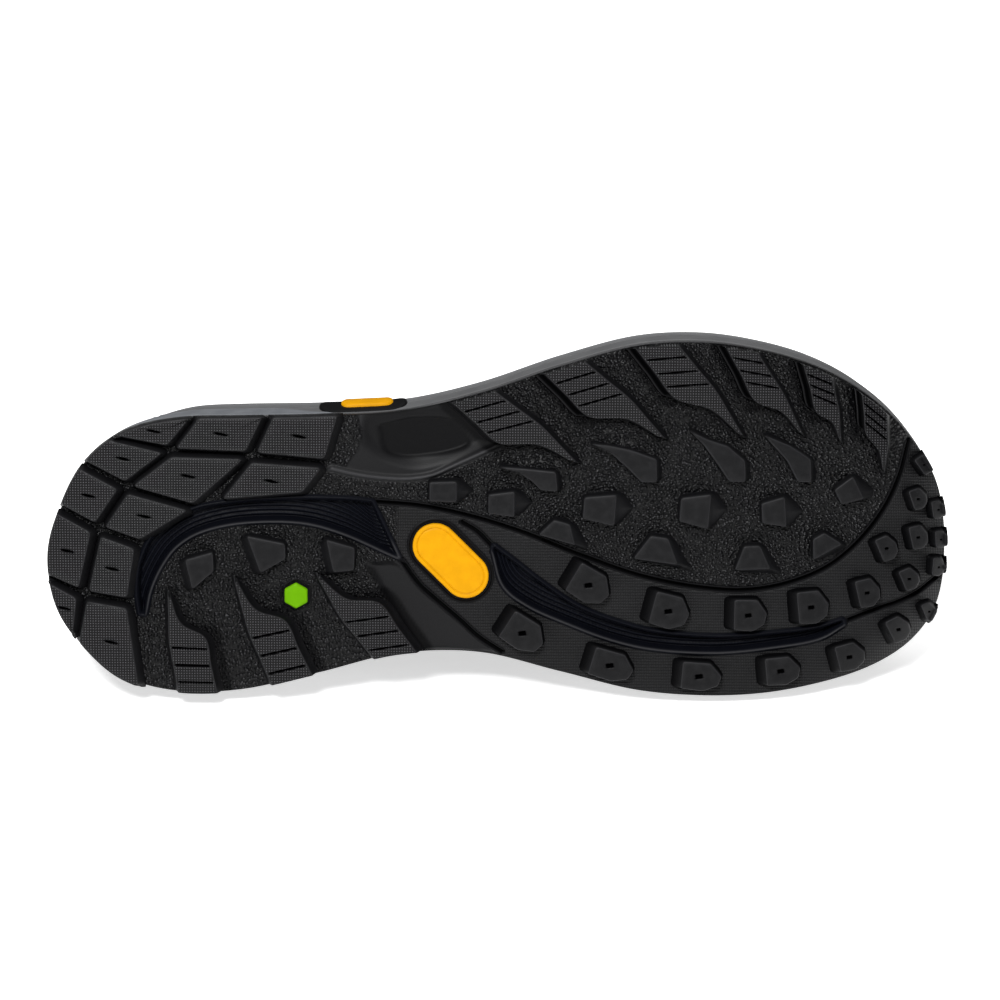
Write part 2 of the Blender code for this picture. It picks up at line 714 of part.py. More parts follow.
def upper_outer(round_angle, level):
    """Outer face of the upper: a bent rise from the deck to the collar or the throat."""
    out = edge_normal(round_angle)
    foot = sole_edge(round_angle) - upper_value(round_angle, "inset")[..., None] * out
    foot_height = deck_height(foot[..., 0]) + FIT_GAP
    side = np.where(np.mod(round_angle, 2.0 * math.pi) <= math.pi, 1.0, -1.0)
    top_along = upper_value(round_angle, "top_along")
    middle = 0.5 * (side_edge(turn_of(top_along), "lateral") + side_edge(turn_of(top_along), "medial"))
    top = np.stack([top_along, middle + side * upper_value(round_angle, "top_half")], axis=-1)
    top_height = upper_value(round_angle, "top_height")
    away = foot - top
    away = away / np.maximum(np.linalg.norm(away, axis=-1, keepdims=True), TINY)
    low = foot + upper_value(round_angle, "low_out")[..., None] * out
    high = top + upper_value(round_angle, "high_out")[..., None] * away
    low_height = foot_height + upper_value(round_angle, "low_up")
    high_height = top_height - upper_value(round_angle, "high_down")
    corners = [np.concatenate([plan, height[..., None]], axis=-1) for plan, height in
               ((foot, foot_height), (low, low_height), (high, high_height), (top, top_height))]
    v = np.asarray(level, dtype=float)[..., None]
    weights = ((1.0 - v) ** 3, 3.0 * v * (1.0 - v) ** 2, 3.0 * v ** 2 * (1.0 - v), v ** 3)
    return sum(weight * corner for weight, corner in zip(weights, corners))


def upper_normal(round_angle, level):
    """Outward unit normal of the upper's outer face."""
    small = 0.01
    round_step = upper_outer(round_angle + small, level) - upper_outer(round_angle - small, level)
    rise = upper_outer(round_angle, np.minimum(level + small, 1.0))
    rise = rise - upper_outer(round_angle, np.maximum(level - small, 0.0))
    normal = np.cross(rise, round_step)
    return normal / np.linalg.norm(normal, axis=-1, keepdims=True)


def foot_station(round_angle):
    angle = np.mod(round_angle, 2.0 * math.pi)
    return along_of(np.where(angle <= math.pi, angle, 2.0 * math.pi - angle))


def overlay(round_angle, level):
    """1 where the toe cap, the heel counter or the eyestay thickens the wall."""
    foot = foot_station(round_angle)
    toe_cap = (foot > TOE_CAP_FROM) & (level < TOE_CAP_LEVEL)
    counter = (foot < COUNTER_TO) & (level < COUNTER_LEVEL)
    eyestay = (foot > EYESTAY_FROM) & (level > EYESTAY_LEVEL)
    return np.where(toe_cap | counter | eyestay, 1.0, 0.0)


def wall_depth(round_angle, level):
    """Thickness of the wall, with the padding of the collar."""
    foot = foot_station(round_angle)
    near = np.clip((COLLAR_END - foot) / COLLAR_FADE, 0.0, 1.0)
    swell = np.clip((level - COLLAR_PAD_LEVEL) / (1.0 - COLLAR_PAD_LEVEL), 0.0, 1.0)
    return WALL_THICKNESS + COLLAR_PAD * near * np.sin(math.pi * swell ** COLLAR_SWELL)


def upper_skin(round_angle, level):
    step = OVERLAY_STEP * overlay(round_angle, level)
    return upper_outer(round_angle, level) + step[..., None] * upper_normal(round_angle, level)


def upper_lining(round_angle, level, extra):
    depth = wall_depth(round_angle, level) + extra
    return upper_outer(round_angle, level) - depth[..., None] * upper_normal(round_angle, level)


def even_angles(count):
    """Places round the foot that stand evenly along the upper's lower edge."""
    fine = np.linspace(0.0, 2.0 * math.pi, UPPER_FINE_STEPS + 1)
    spots = upper_outer(fine, np.zeros_like(fine))
    run = np.concatenate([[0.0], np.cumsum(np.linalg.norm(np.diff(spots, axis=0), axis=1))])
    return np.interp(np.linspace(0.0, run[-1], count, endpoint=False), run, fine)


def make_upper(carrier):
    """Hollow shell with a real wall, open at the collar, the throat and underneath."""
    angles = even_angles(UPPER_AROUND)
    shell = Shell()
    outer = []
    inner = []
    for level in UPPER_LEVELS:
        levels = np.full(UPPER_AROUND, level)
        outer.append(upper_skin(angles, levels))
        inner.append(upper_lining(angles, levels, 0.0))
    for ring in (outer[0], inner[0]):
        ring[:, 2] = deck_height(ring[:, 0]) + FIT_GAP
    lip = 0.5 * (outer[-1] + inner[-1])
    rise = outer[-1] - outer[-2]
    lip += EDGE_ROUND * rise / np.linalg.norm(rise, axis=1, keepdims=True)
    rings = [shell.add_spots(ring) for ring in outer + [lip] + inner[::-1]]
    for low, high in zip(rings, rings[1:] + rings[:1]):
        shell.band(low, high)
    return add_solid("upper", shell, "knit_fabric", carrier)


def make_insole(carrier):
    """Loose liner on the deck, inside the upper's wall."""
    angles = even_angles(UPPER_AROUND)
    inset = upper_value(angles, "inset") + INSOLE_CLEAR
    rim = sole_edge(angles) - inset[:, None] * edge_normal(angles)
    inner = loose_points([], INSOLE_INNER)
    plan, faces, order = plan_mesh(rim, [], inner)
    shell = Shell()
    low = shell.add_points(plan, deck_height(plan[:, 0]) + FIT_GAP)
    high = shell.add_points(plan, deck_height(plan[:, 0]) + FIT_GAP + INSOLE_THICKNESS)
    shell.add_faces(faces, low)
    shell.add_faces(faces, high)
    shell.band([low[place] for place in order[0]], [high[place] for place in order[0]])
    return add_solid("insole", shell, "liner_fabric", carrier)


def tongue_row(station, extra):
    """One cross line of the tongue: under the eyestay, over the instep, under the eyestay."""
    turn = float(turn_of(station))
    levels = np.array(TONGUE_LEVELS)
    lateral = upper_lining(np.full(len(levels), turn), levels, TONGUE_DEPTH + extra)
    medial = upper_lining(np.full(len(levels), -turn), levels, TONGUE_DEPTH + extra)
    shares = np.linspace(0.0, 1.0, TONGUE_ACROSS + 2)[1:-1]
    middle = np.array([(1.0 - s) * lateral[-1] + s * medial[-1] for s in shares])
    middle[:, 2] += TONGUE_CROWN * np.sin(math.pi * shares)
    return np.concatenate([lateral, middle, medial[::-1]])


def tongue_rows(extra):
    rows = [tongue_row(station, extra) for station in TONGUE_STATIONS]
    last = rows[-1]
    centre = last[:, 1].mean()
    for step in range(1, TONGUE_FREE_STEPS + 1):
        share = step / TONGUE_FREE_STEPS
        row = last.copy()
        row[:, 0] -= TONGUE_FREE_BACK * share
        row[:, 1] = centre + (row[:, 1] - centre) * (1.0 - TONGUE_FREE_NARROW * share)
        row[:, 2] += TONGUE_FREE_UP * share
        rows.append(row)
    return np.array(rows)


def make_tongue(carrier):
    """Padded sheet in the throat that follows the lining and stands up at its free end."""
    shell = Shell()
    top = tongue_rows(0.0)
    under = tongue_rows(TONGUE_THICKNESS)
    rows, places = top.shape[:2]
    upper_numbers = np.array(shell.add_spots(top.reshape(-1, 3))).reshape(rows, places)
    under_numbers = np.array(shell.add_spots(under.reshape(-1, 3))).reshape(rows, places)
    for numbers in (upper_numbers, under_numbers):
        for row in range(rows - 1):
            for place in range(places - 1):
                corner = numbers[row:row + 2, place:place + 2]
                shell.faces.append((corner[0, 0], corner[0, 1], corner[1, 1], corner[1, 0]))
    rim = [(0, place) for place in range(places)]
    rim += [(row, places - 1) for row in range(1, rows)]
    rim += [(rows - 1, place) for place in range(places - 2, -1, -1)]
    rim += [(row, 0) for row in range(rows - 2, 0, -1)]
    shell.band([under_numbers[spot] for spot in rim], [upper_numbers[spot] for spot in rim])
    return add_solid("tongue", shell, "padded_fabric", carrier)


def over_eyestay(station, sign, level):
    """Middle of the lace where it lies just over the eyestay."""
    angle = np.array([sign * float(turn_of(station))])
    level = np.array([level])
    height = OVERLAY_STEP + LACE_RADIUS + LACE_LIFT
    return (upper_outer(angle, level) + height * upper_normal(angle, level))[0]


def lace_path(first_sign):
    """One run of the lace: from eyelet to eyelet across the throat, up to the top pair."""
    stations = EYELET_STATIONS[::-1]
    signs = [first_sign * (-1.0) ** number for number in range(len(stations))]
    path = [over_eyestay(stations[0], signs[0], EYELET_LEVEL)]
    for number in range(len(stations) - 1):
        start, end = stations[number:number + 2]
        near, far = signs[number:number + 2]
        leave = over_eyestay(start + LACE_EDGE_SHARE * (end - start), near, 1.0)
        arrive = over_eyestay(end - LACE_EDGE_SHARE * (end - start), far, 1.0)
        for step in range(LACE_STEPS + 1):
            share = step / LACE_STEPS
            spot = (1.0 - share) * leave + share * arrive
            spot[2] += LACE_CROWN * math.sin(math.pi * share)
            path.append(spot)
        path.append(over_eyestay(end, far, EYELET_LEVEL))
    return np.array(path)


def tube(path):
    """Round tube along a path, closed at both ends."""
    shell = Shell()
    ahead = np.gradient(path, axis=0)
    ahead /= np.linalg.norm(ahead, axis=1, keepdims=True)
    level = np.cross(ahead, np.array([0.0, 0.0, 1.0]))
    level /= np.linalg.norm(level, axis=1, keepdims=True)
    up = np.cross(level, ahead)
    rings = []
    for spot, side, rise in zip(path, level, up):
        angles = 2.0 * math.pi * np.arange(LACE_SIDES) / LACE_SIDES
        ring = [spot + LACE_RADIUS * (math.cos(a) * side + math.sin(a) * rise) for a in angles]
        rings.append(shell.add_spots(ring))
    for low, high in zip(rings, rings[1:]):
        shell.band(low, high)
    shell.cap(rings[0])
    shell.cap(rings[-1])
    return shell


def make_lace(carrier):
    """Two crossed runs joined into one solid."""
    lace = add_solid("lace", tube(lace_path(1.0)), "lace_cord", carrier)
    other = add_solid("lace_second_run", tube(lace_path(-1.0)), "lace_cord", carrier)
    other.hide_render = True
    other.display_type = "WIRE"
    join = lace.modifiers.new("join_runs", "BOOLEAN")
    join.operation = "UNION"
    join.solver = "EXACT"
    join.object = other
    return lace


def make_plate(name, loop, small_loop, material, carrier):
    """Flat piece in a seat of the outsole, bevelled on the side that shows."""
    shell = Shell()
    centre = loop.mean(axis=0)[None, :]
    level = float(lift(centre)[0]) + LUG_HEIGHT
    back = shell.add_points(loop, level + SHEET_THICKNESS - FIT_GAP)
    edge = shell.add_points(loop, level - INLAY_PROUD + INLAY_BEVEL)
    face = shell.add_points(small_loop, level - INLAY_PROUD)
    shell.band(back, edge)
    shell.band(edge, face)
    shell.cap(back)
    shell.cap(face)
    return add_solid(name, shell, material, carrier)


def make_side_tab(carrier):
    """Small bar that lies against the lateral wall of the midsole, its face turned to the tread."""
    shell = Shell()
    turn = float(turn_of(TAB_ALONG))
    ends = np.array([turn_of(TAB_ALONG - 0.5 * TAB_LENGTH), turn_of(TAB_ALONG + 0.5 * TAB_LENGTH)])
    out = edge_normal(np.array([turn]))[0]
    run = np.array([-out[1], out[0]])
    spot = sole_edge(np.array([turn]))[0]
    low = float(sheet_top(spot[None, :])[0])
    height = low + TAB_RISE * (float(deck_height(TAB_ALONG)) - low)
    bow = np.dot(sole_edge(ends) - spot, out).max()
    rises, outward = zip(*WALL_PROFILE)
    stand = max(bow, 0.0) + float(np.interp(TAB_RISE, rises, outward)) + FIT_GAP
    half = 0.5 * TAB_WIDTH
    reach = 0.5 * TAB_LENGTH - half
    shape = []
    for sign in (1.0, -1.0):
        for angle in np.linspace(-0.5 * math.pi, 0.5 * math.pi, INLAY_ARC_STEPS):
            shape.append((sign * (reach + half * math.cos(angle)), sign * half * math.sin(angle)))
    rings = []
    for thickness, slant in ((0.0, 0.0), (TAB_THICKNESS, TAB_SLANT)):
        ring = []
        for along, rise in shape:
            plan = spot + along * run + (stand + thickness + slant * rise / half) * out
            ring.append((plan[0], plan[1], height + rise))
        rings.append(shell.add_spots(ring))
    shell.band(*rings)
    shell.cap(rings[0])
    shell.cap(rings[1])
    return add_solid("side_tab", shell, "amber_rubber", carrier)


def lay_down(carrier, solids):
    """Rolls the shoe onto its medial side and sets it on the floor about the origin."""
    roll = Matrix.Rotation(math.radians(-LYING_ROLL), 4, "X")
    turn = Matrix.Rotation(math.radians(LYING_TURN), 4, "Y")
    pose = turn @ roll
    spots = np.array([pose @ vertex.co for solid in solids for vertex in solid.data.vertices])
    low = spots.min(axis=0)
    high = spots.max(axis=0)
    shift = Vector((-0.5 * (low[0] + high[0]), -0.5 * (low[1] + high[1]), -low[2]))
    carrier.matrix_world = Matrix.Translation(shift) @ pose


def main():
    clear_file()
    carrier = bpy.data.objects.new("lying_shoe", None)
    bpy.context.collection.objects.link(carrier)
    solids = [
        make_outsole(carrier),
        make_midsole(carrier),
        make_upper(carrier),
        make_tongue(carrier),
        make_insole(carrier),
        make_lace(carrier),
        make_plate("sole_inlay", capsule_loop(0.0), capsule_loop(-INLAY_BEVEL), "amber_rubber", carrier),
        make_plate("heel_plug", plug_loop(0.0), plug_loop(-INLAY_BEVEL), "green_rubber", carrier),
        make_side_tab(carrier),
    ]
    lay_down(carrier, solids)


main()
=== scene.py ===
"""Look of a right trail shoe that lies on its medial side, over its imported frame.

Tables are in millimetres in the shoe's own axes: along from heel to toe, across
from the medial to the lateral side, height from the tread plane to the foot.
"""
import math

import bmesh
import bpy
import numpy as np
from mathutils import Matrix, Vector


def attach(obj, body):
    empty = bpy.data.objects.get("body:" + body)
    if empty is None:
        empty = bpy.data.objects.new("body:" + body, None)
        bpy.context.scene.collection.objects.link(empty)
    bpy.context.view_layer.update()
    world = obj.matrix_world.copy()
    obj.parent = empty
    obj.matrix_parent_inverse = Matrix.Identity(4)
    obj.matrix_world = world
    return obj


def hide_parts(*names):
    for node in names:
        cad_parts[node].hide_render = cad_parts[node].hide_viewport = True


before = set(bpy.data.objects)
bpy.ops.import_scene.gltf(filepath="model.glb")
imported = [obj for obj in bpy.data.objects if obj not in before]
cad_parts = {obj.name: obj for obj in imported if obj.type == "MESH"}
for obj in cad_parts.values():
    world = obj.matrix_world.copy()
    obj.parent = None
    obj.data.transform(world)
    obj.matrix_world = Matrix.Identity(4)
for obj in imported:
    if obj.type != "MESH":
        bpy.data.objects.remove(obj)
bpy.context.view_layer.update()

MM = 0.001
TAU = 2.0 * math.pi

# How the shoe lies
LYING_ROLL = 102.0
LYING_TURN = 0.4

# Sole
SOLE_LENGTH = 302.0
LUG_HEIGHT = 4.0
LUG_DRAFT = 1.1
GROOVE_HALF = 1.9
SHEET_THICKNESS = 2.5
BACK_SUNK = 7.0
# Places along the sole where the lit mark, a painted highlight on the sheet's lateral rim, starts, is full,
# starts to fade and ends
LIT_RIM = (118.0, 132.0, 215.0, 245.0)
FIT_GAP = 0.3
ROLL_START = 217.0
TOE_SPRING = 13.0
TOE_WRAP = 8.0
TOE_WRAP_WIDTH = 13.0
TOE_WRAP_START = 252.0
TOE_WRAP_FULL = 292.0
HEEL_BEVEL = 6.0
HEEL_BEVEL_LENGTH = 34.0
ARCH_LIFT = 2.6
ARCH_START = 92.0
ARCH_END = 180.0
EDGE_MARGIN = 0.5
OUTLINE_POINTS = 360
EDGE_STEP = 0.02
CHUNK = 6000

SOLE_COLUMNS = ("along", "medial", "lateral", "deck")
SOLE_SECTIONS = (
    (0.0, 46.0, 46.0, 36.0),
    (3.4, 28.6, 61.6, 36.0),
    (10.1, 18.4, 76.0, 35.9),
    (23.6, 5.9, 88.5, 35.6),
    (43.9, 0.3, 94.0, 35.0),
    (64.1, 1.0, 94.7, 34.3),
    (91.1, 7.2, 95.4, 33.2),
    (118.1, 14.1, 97.1, 31.8),
    (145.1, 14.8, 103.6, 30.0),
    (172.1, 8.3, 112.9, 28.2),
    (199.1, 1.7, 120.2, 27.0),
    (219.0, 0.0, 121.2, 26.9),
    (239.5, 0.7, 118.4, 27.8),
    (260.0, 4.5, 112.0, 29.9),
    (280.0, 11.7, 99.5, 33.2),
    (293.5, 22.0, 83.7, 36.2),
    (300.3, 34.8, 68.2, 37.8),
    (302.0, 50.0, 50.0, 38.2),
)

WALL_COLUMNS = ("rise", "outward")
WALL_PROFILE = (
    (0.00, 0.0),
    (0.05, 0.6),
    (0.10, 0.75),
    (0.38, 0.8),
    (0.42, 0.3),
    (0.45, -0.25),
    (0.48, -0.2),
    (0.64, 0.05),
    (0.68, 0.5),
    (0.72, 0.7),
    (0.82, 0.5),
    (0.88, -0.4),
    (0.94, -2.4),
    (0.98, -4.9),
    (1.00, -6.4),
)

# Tread
WINDOW_COLUMNS = ("lateral_along", "lateral_across", "medial_along", "medial_across")
HEEL_WINDOW = (
    (30.4, 27.6, 31.6, 27.4),
    (29.6, 36.0, 33.6, 36.0),
    (31.0, 46.0, 37.6, 44.6),
    (36.6, 56.0, 43.0, 51.4),
    (48.0, 63.0, 51.6, 56.4),
    (64.0, 66.0, 65.4, 59.4),
    (84.0, 67.2, 84.0, 59.6),
    (100.0, 67.0, 99.0, 55.8),
    (108.6, 66.2, 117.4, 47.6),
)
FORE_WINDOW = (
    (150.0, 51.0, 149.8, 49.6),
    (157.6, 45.2, 153.4, 38.0),
    (166.0, 38.6, 162.0, 31.0),
    (178.0, 30.6, 175.0, 25.2),
    (192.0, 25.0, 190.0, 19.6),
    (206.0, 21.6, 205.0, 16.4),
    (226.0, 20.2, 226.0, 15.4),
    (246.0, 21.6, 246.5, 17.6),
    (259.6, 23.6, 260.2, 20.4),
    (268.0, 26.2, 268.4, 25.2),
)
WINDOW_LIP = 2.1
WINDOW_DEPTH = 2.7
WINDOW_BEAD = 0.85
WINDOW_BEAD_HALF = 0.62
WINDOW_RIB = 0.32
WINDOW_RIB_PITCH = 1.5

# Thin mould lines in the tread, each a route of plan points (along, across)
FORE_LINE = ((109.6, 66.4), (124.8, 65.2), (138.3, 62.6), (158.6, 56.6), (178.8, 48.6), (199.1, 41.6),
             (219.3, 37.6), (236.2, 36.8), (249.7, 39.4), (263.2, 45.4), (273.3, 54.2), (281.7, 66.0),
             (286.8, 78.4), (289.0, 88.6))
TOE_LINE = ((268.4, 25.8), (273.6, 28.0), (280.0, 30.6), (286.8, 33.0), (293.6, 36.6), (298.4, 40.6),
            (301.4, 43.4))
WAIST_LINE = ((118.6, 46.4), (124.8, 38.0), (131.6, 31.8), (138.3, 26.0), (145.1, 19.8), (153.0, 14.6))
SPUR_LINE = ((139.0, 59.6), (144.0, 56.6), (149.0, 51.6))
MOULD_LINES = (FORE_LINE, TOE_LINE, WAIST_LINE, SPUR_LINE)
LINE_HALF = 0.55
LINE_LIP = 1.2
LINE_DEPTH = 2.0

# Sculpted waist
WAIST_RIDGE = ((95.0, 77.8), (104.0, 75.8), (112.0, 74.8), (122.0, 74.6), (129.0, 75.8), (136.0, 79.0),
               (151.6, 86.4))
RIDGE_HALF = 0.75
RIDGE_HEIGHT = 1.3
LATERAL_HOLLOW = ((104.6, 97.4), (134.4, 101.4), (150.6, 87.0), (136.4, 81.0), (124.0, 77.6),
                  (111.0, 81.2), (104.4, 87.6))
LATERAL_HOLLOW_DEPTH = 1.9
WAIST_SMOOTH = ((103.4, 97.4), (134.4, 101.4), (151.6, 87.4), (136.0, 79.2), (129.0, 75.8), (122.0, 74.6),
                (112.0, 74.8), (99.0, 77.0), (104.0, 84.0), (105.4, 90.0))
WAIST_PAD = ((110.6, 92.4), (124.0, 95.2), (138.6, 92.6), (141.6, 87.2), (128.0, 82.0), (113.0, 83.6))
WAIST_PAD_DEPTH = 0.9
MEDIAL_HOLLOW = ((106.6, 45.2), (117.4, 45.6), (152.0, 14.2), (126.0, 13.0), (114.6, 30.6))
MEDIAL_HOLLOW_DEPTH = 2.2
MEDIAL_FLANK = ((106.6, 45.2), (114.6, 30.6), (126.0, 13.0))
MEDIAL_FLANK_REACH = 20.0

# Heel blocks: named crossings of the grooves (name, along, across), then the corners of each block
HEEL_CROSSINGS = (
    ("edge_a", 19.6, 89.6),
    ("edge_b", 50.3, 97.6),
    ("edge_c", 74.9, 98.4),
    ("edge_d", 99.9, 99.2),
    ("one_a", 40.8, 83.8),
    ("one_b", 67.5, 82.1),
    ("one_c", 94.1, 79.7),
    ("two_edge", 9.0, 80.6),
    ("two_a", 26.0, 71.4),
    ("two_window", 49.0, 64.0),
    ("two_front", 56.6, 66.6),
    ("three_window", 86.4, 68.4),
    ("three_edge", 0.0, 65.8),
    ("three_a", 16.2, 56.9),
    ("three_mid", 30.8, 51.6),
    ("four_edge", -4.0, 41.0),
    ("four_a", 11.1, 34.2),
    ("four_mid", 27.6, 31.4),
    ("back_edge", 7.4, 15.6),
    ("back_low", 25.6, 1.0),
    ("back_mid", 31.8, 0.6),
)
HEEL_BLOCKS = (
    ("edge_a", "one_a", "edge_b"),
    ("edge_b", "one_a", "one_b", "edge_c"),
    ("edge_c", "one_b", "one_c", "edge_d"),
    ("edge_a", "two_edge", "two_a", "one_a"),
    ("one_a", "two_a", "two_window", "one_b"),
    ("one_b", "two_front", "three_window", "one_c"),
    ("two_edge", "three_edge", "three_a", "two_a"),
    ("two_a", "three_a", "three_mid", "two_window"),
    ("three_edge", "four_edge", "four_a", "three_a"),
    ("three_a", "four_a", "four_mid", "three_mid"),
    ("four_edge", "back_edge", "four_a"),
    ("four_a", "back_edge", "back_low", "back_mid", "four_mid"),
)
BLOCK_SLIT = (2.4, 0.42)
BLOCK_RAMP = (1.2, (0.92, -0.39), 0.0)
BLOCK_SLIT_TURN = -12.0
BLOCK_MARGIN = -0.6

# Hooked lugs: side, root from and to along the sole, tip along and across, knee along and across
FANGS = (
    ("lateral", 135.6, 149.8, 178.1, 80.4, 150.8, 87.6),
    ("lateral", 166.3, 179.8, 207.5, 88.7, 180.8, 96.9),
    ("lateral", 196.7, 210.9, 233.8, 89.4, 209.9, 103.2),
    ("lateral", 226.7, 237.4, 253.7, 90.0, 237.2, 102.1),
    ("lateral", 252.7, 262.4, 266.2, 88.0, 257.8, 98.3),
    ("lateral", 272.6, 281.4, 280.7, 77.6, 274.3, 91.4),
    ("medial", 43.2, 56.4, 39.8, 35.5, 52.3, 19.7),
    ("medial", 74.9, 88.7, 62.1, 40.4, 79.3, 25.9),
    ("medial", 109.7, 124.2, 90.0, 41.6, 111.3, 32.1),
)
FANG_SLITS = {"lateral": (0.13, 0.28, 0.42), "medial": (0.11, 0.28, 0.45)}
FANG_SLIT_HALF = 0.36
FANG_SLIT_DEPTH = 1.4
# Profiles of a hooked lug's wall, plain and with a ledge: place in from the flank, height over the floor
FANG_WALL = ((-2.2, -0.6), (-1.9, 0.05), (-1.5, 0.4), (-0.75, 2.0), (-0.16, 3.3), (-0.04, 3.72),
             (0.12, 3.92), (0.4, 4.0))
FANG_LEDGE = ((-3.7, -0.6), (-3.3, 1.2), (-2.9, 2.1), (-2.1, 2.1), (-1.2, 0.7), (-0.14, 3.4),
              (0.12, 3.92), (0.4, 4.0))
FANG_BACK_BOW = 0.12
FANG_HOOK_BOW = 0.3
FANG_BLUNT = 0.05
FANG_SLIT_SOFT = 1.6
LEDGE_PAST = 3.0
LEDGE_FADE = 9.0
FANG_WIDE = 0.42
FANG_BEVEL = 0.4
FANG_REAR = 0.75
FANG_MARGIN = 0.25
FANG_FOOT = -0.6
FANG_END_DROPS = (-0.6, 0.4)
FANG_TAIL = 0.05
FANG_TAIL_LOW = 0.4
FANG_TAIL_SHARE = 0.35
FANG_TIP_GROW = 1.25
FANG_LEDGES = 5
FANG_ROWS = 180
FANG_COLUMNS_INSIDE = 18
HOOK_SHADE = 2.2
LEDGE_SHADE = 5.6
# Painted shade on the ledge's first columns, then the column with a painted shine and its strength
LEDGE_DEEP_SHADE = (1.0, 1.0, 0.4, 0.9, 1.0, 0.8)
LEDGE_CREST = 2
LEDGE_SHINE = 0.6

# Crescent lugs, each from its tail along the crest to the nose and back
CRESCENTS = (
    ((151.2, 79.2), (159.1, 78.7), (165.4, 78.1), (170.4, 77.6),
     (171.1, 71.1), (165.7, 71.4), (162.4, 74.6), (158.6, 77.2)),
    ((182.1, 87.3), (188.2, 86.7), (195.6, 85.2), (204.2, 82.2),
     (204.4, 74.4), (199.3, 74.4), (195.4, 78.4), (189.0, 84.3)),
    ((215.2, 91.9), (221.4, 88.9), (228.0, 86.8), (233.9, 81.8),
     (234.2, 74.8), (228.7, 74.8), (225.4, 79.9), (219.7, 87.7)),
    ((240.4, 90.5), (249.2, 86.9), (255.9, 82.5), (256.3, 74.8), (251.9, 74.8), (248.2, 81.9)),
)
CREST_POINTS = (4, 4, 4, 3)
CRESCENT_RAMP = (1.2, (1.0, 0.0), 0.0)
CREST_RISE = 1.3
CREST_HALF = 2.8

# Wedge lugs: along, across, length, width at the heel end, width at the toe end, turn, ramp
WEDGES = (
    (132.7, 70.6, 9.0, 6.4, 7.0, 0.0, 5.2),
    (152.3, 66.5, 8.6, 6.4, 8.6, 0.0, 5.6),
    (185.3, 65.0, 10.6, 7.2, 10.6, -4.0, 5.6),
    (217.4, 64.7, 9.8, 7.8, 11.8, -4.0, 5.6),
    (243.9, 64.2, 7.8, 6.6, 10.2, 4.0, 5.6),
    (268.8, 71.3, 7.4, 5.4, 8.4, 26.0, 4.4),
    (171.9, 57.4, 6.2, 5.4, 12.6, -106.0, 5.2),
    (205.0, 51.3, 8.4, 5.8, 15.0, -98.0, 5.2),
    (237.0, 48.6, 8.0, 5.2, 11.8, -88.0, 4.6),
    (260.8, 53.5, 6.2, 4.2, 10.8, -60.0, 2.6),
)
FRONT_RAMP = ((1.0, 0.0), 0.75)
SIDE_RAMP = ((0.88, -0.47), 0.5)
ISLAND_WEDGES = (
    ((45.9, 46.6), (48.2, 36.6), (55.3, 42.8), (55.0, 49.3)),
    ((66.8, 54.9), (71.2, 42.4), (79.6, 47.3), (79.3, 52.4)),
    ((93.5, 53.8), (95.8, 42.8), (102.6, 43.5), (102.9, 51.1)),
)
ISLAND_RAMP = (2.3, (-0.83, -0.55), 0.0)

# Studs: along, across, length, width, turn
STUDS = (
    (182.6, 38.2, 13.6, 11.4, -30.0),
    (209.8, 29.6, 12.6, 11.6, -14.0),
    (236.8, 28.6, 11.0, 10.8, 0.0),
    (258.0, 31.6, 10.4, 11.2, 6.0),
    (276.6, 36.8, 7.6, 9.6, 14.0),
    (290.6, 41.8, 5.8, 7.4, 24.0),
    (282.7, 52.3, 6.2, 8.4, 24.0),
    (292.8, 69.3, 5.2, 7.0, 20.0),
    (293.2, 56.1, 5.8, 8.0, 14.0),
    (160.4, 21.4, 14.0, 11.0, -32.0),
    (190.3, 10.6, 14.4, 10.0, -16.0),
    (220.6, 7.2, 13.4, 9.6, -4.0),
    (248.2, 9.4, 11.6, 9.6, 6.0),
    (271.2, 14.6, 9.4, 9.2, 16.0),
    (287.4, 24.4, 7.0, 8.4, 28.0),
)
TOE_STUDS = (
    (294.4, 81.0, 4.0, 6.4, 36.0),
    (299.4, 65.6, 4.0, 6.0, 10.0),
    (300.6, 55.4, 3.8, 5.8, 4.0),
    (300.0, 45.8, 4.0, 6.2, -4.0),
    (297.4, 30.6, 4.0, 6.0, 24.0),
)
STUD_SHAPE = ((-0.5, -0.46), (0.06, -0.5), (0.42, -0.28), (0.5, 0.06), (0.2, 0.5), (-0.5, 0.5))
STUD_RAMP = 2.6
STUD_HOLE = (1.4, 0.85)
STUD_FULL = 13.0
STUD_RAMP_FULL = 9.0
STUD_HOLE_TURN = 8.0
STUD_MARGIN = 0.3
TOE_STUD_MARGIN = -0.9

# Small pieces set in the sole
INLAY_CENTRE = (135.3, 46.2)
INLAY_LENGTH = 30.0
INLAY_WIDTH = 15.4
INLAY_TURN = -45.0
INLAY_LEAST = 0.4
PLUG_CENTRE = (83.0, 33.8)
PLUG_RADIUS = 4.5
PLUG_TURN = 30.0
TAB_ALONG = 107.0
TAB_LENGTH = 18.0
TAB_WIDTH = 5.2
TAB_RISE = 0.25
TAB_OUT = 2.2
TAB_SLANT = 0.5
PLATE_ALONG = 105.6
PLATE_LENGTH = 30.0
PLATE_WIDTH = 11.0
PLATE_OUT = 1.3
PLATE_SLANT = 1.1


def column(rows, names, name):
    """One named column of a table as an array."""
    place = names.index(name)
    return np.array([row[place] for row in rows], dtype=float)


def curve_through(knots, values, at):
    """Cubic curve through (knot, value) pairs with central slopes, read at the given places."""
    knots = np.asarray(knots, dtype=float)
    values = np.asarray(values, dtype=float)
    at = np.clip(np.asarray(at, dtype=float), knots[0], knots[-1])
    slopes = np.gradient(values, knots)
    cell = np.clip(np.searchsorted(knots, at, side="right") - 1, 0, len(knots) - 2)
    width = knots[cell + 1] - knots[cell]
    share = (at - knots[cell]) / width
    start = (1.0 + 2.0 * share) * (1.0 - share) ** 2
    leave = share * (1.0 - share) ** 2
    end = share ** 2 * (3.0 - 2.0 * share)
    arrive = share ** 2 * (share - 1.0)
    held = start * values[cell] + end * values[cell + 1]
    return held + width * (leave * slopes[cell] + arrive * slopes[cell + 1])


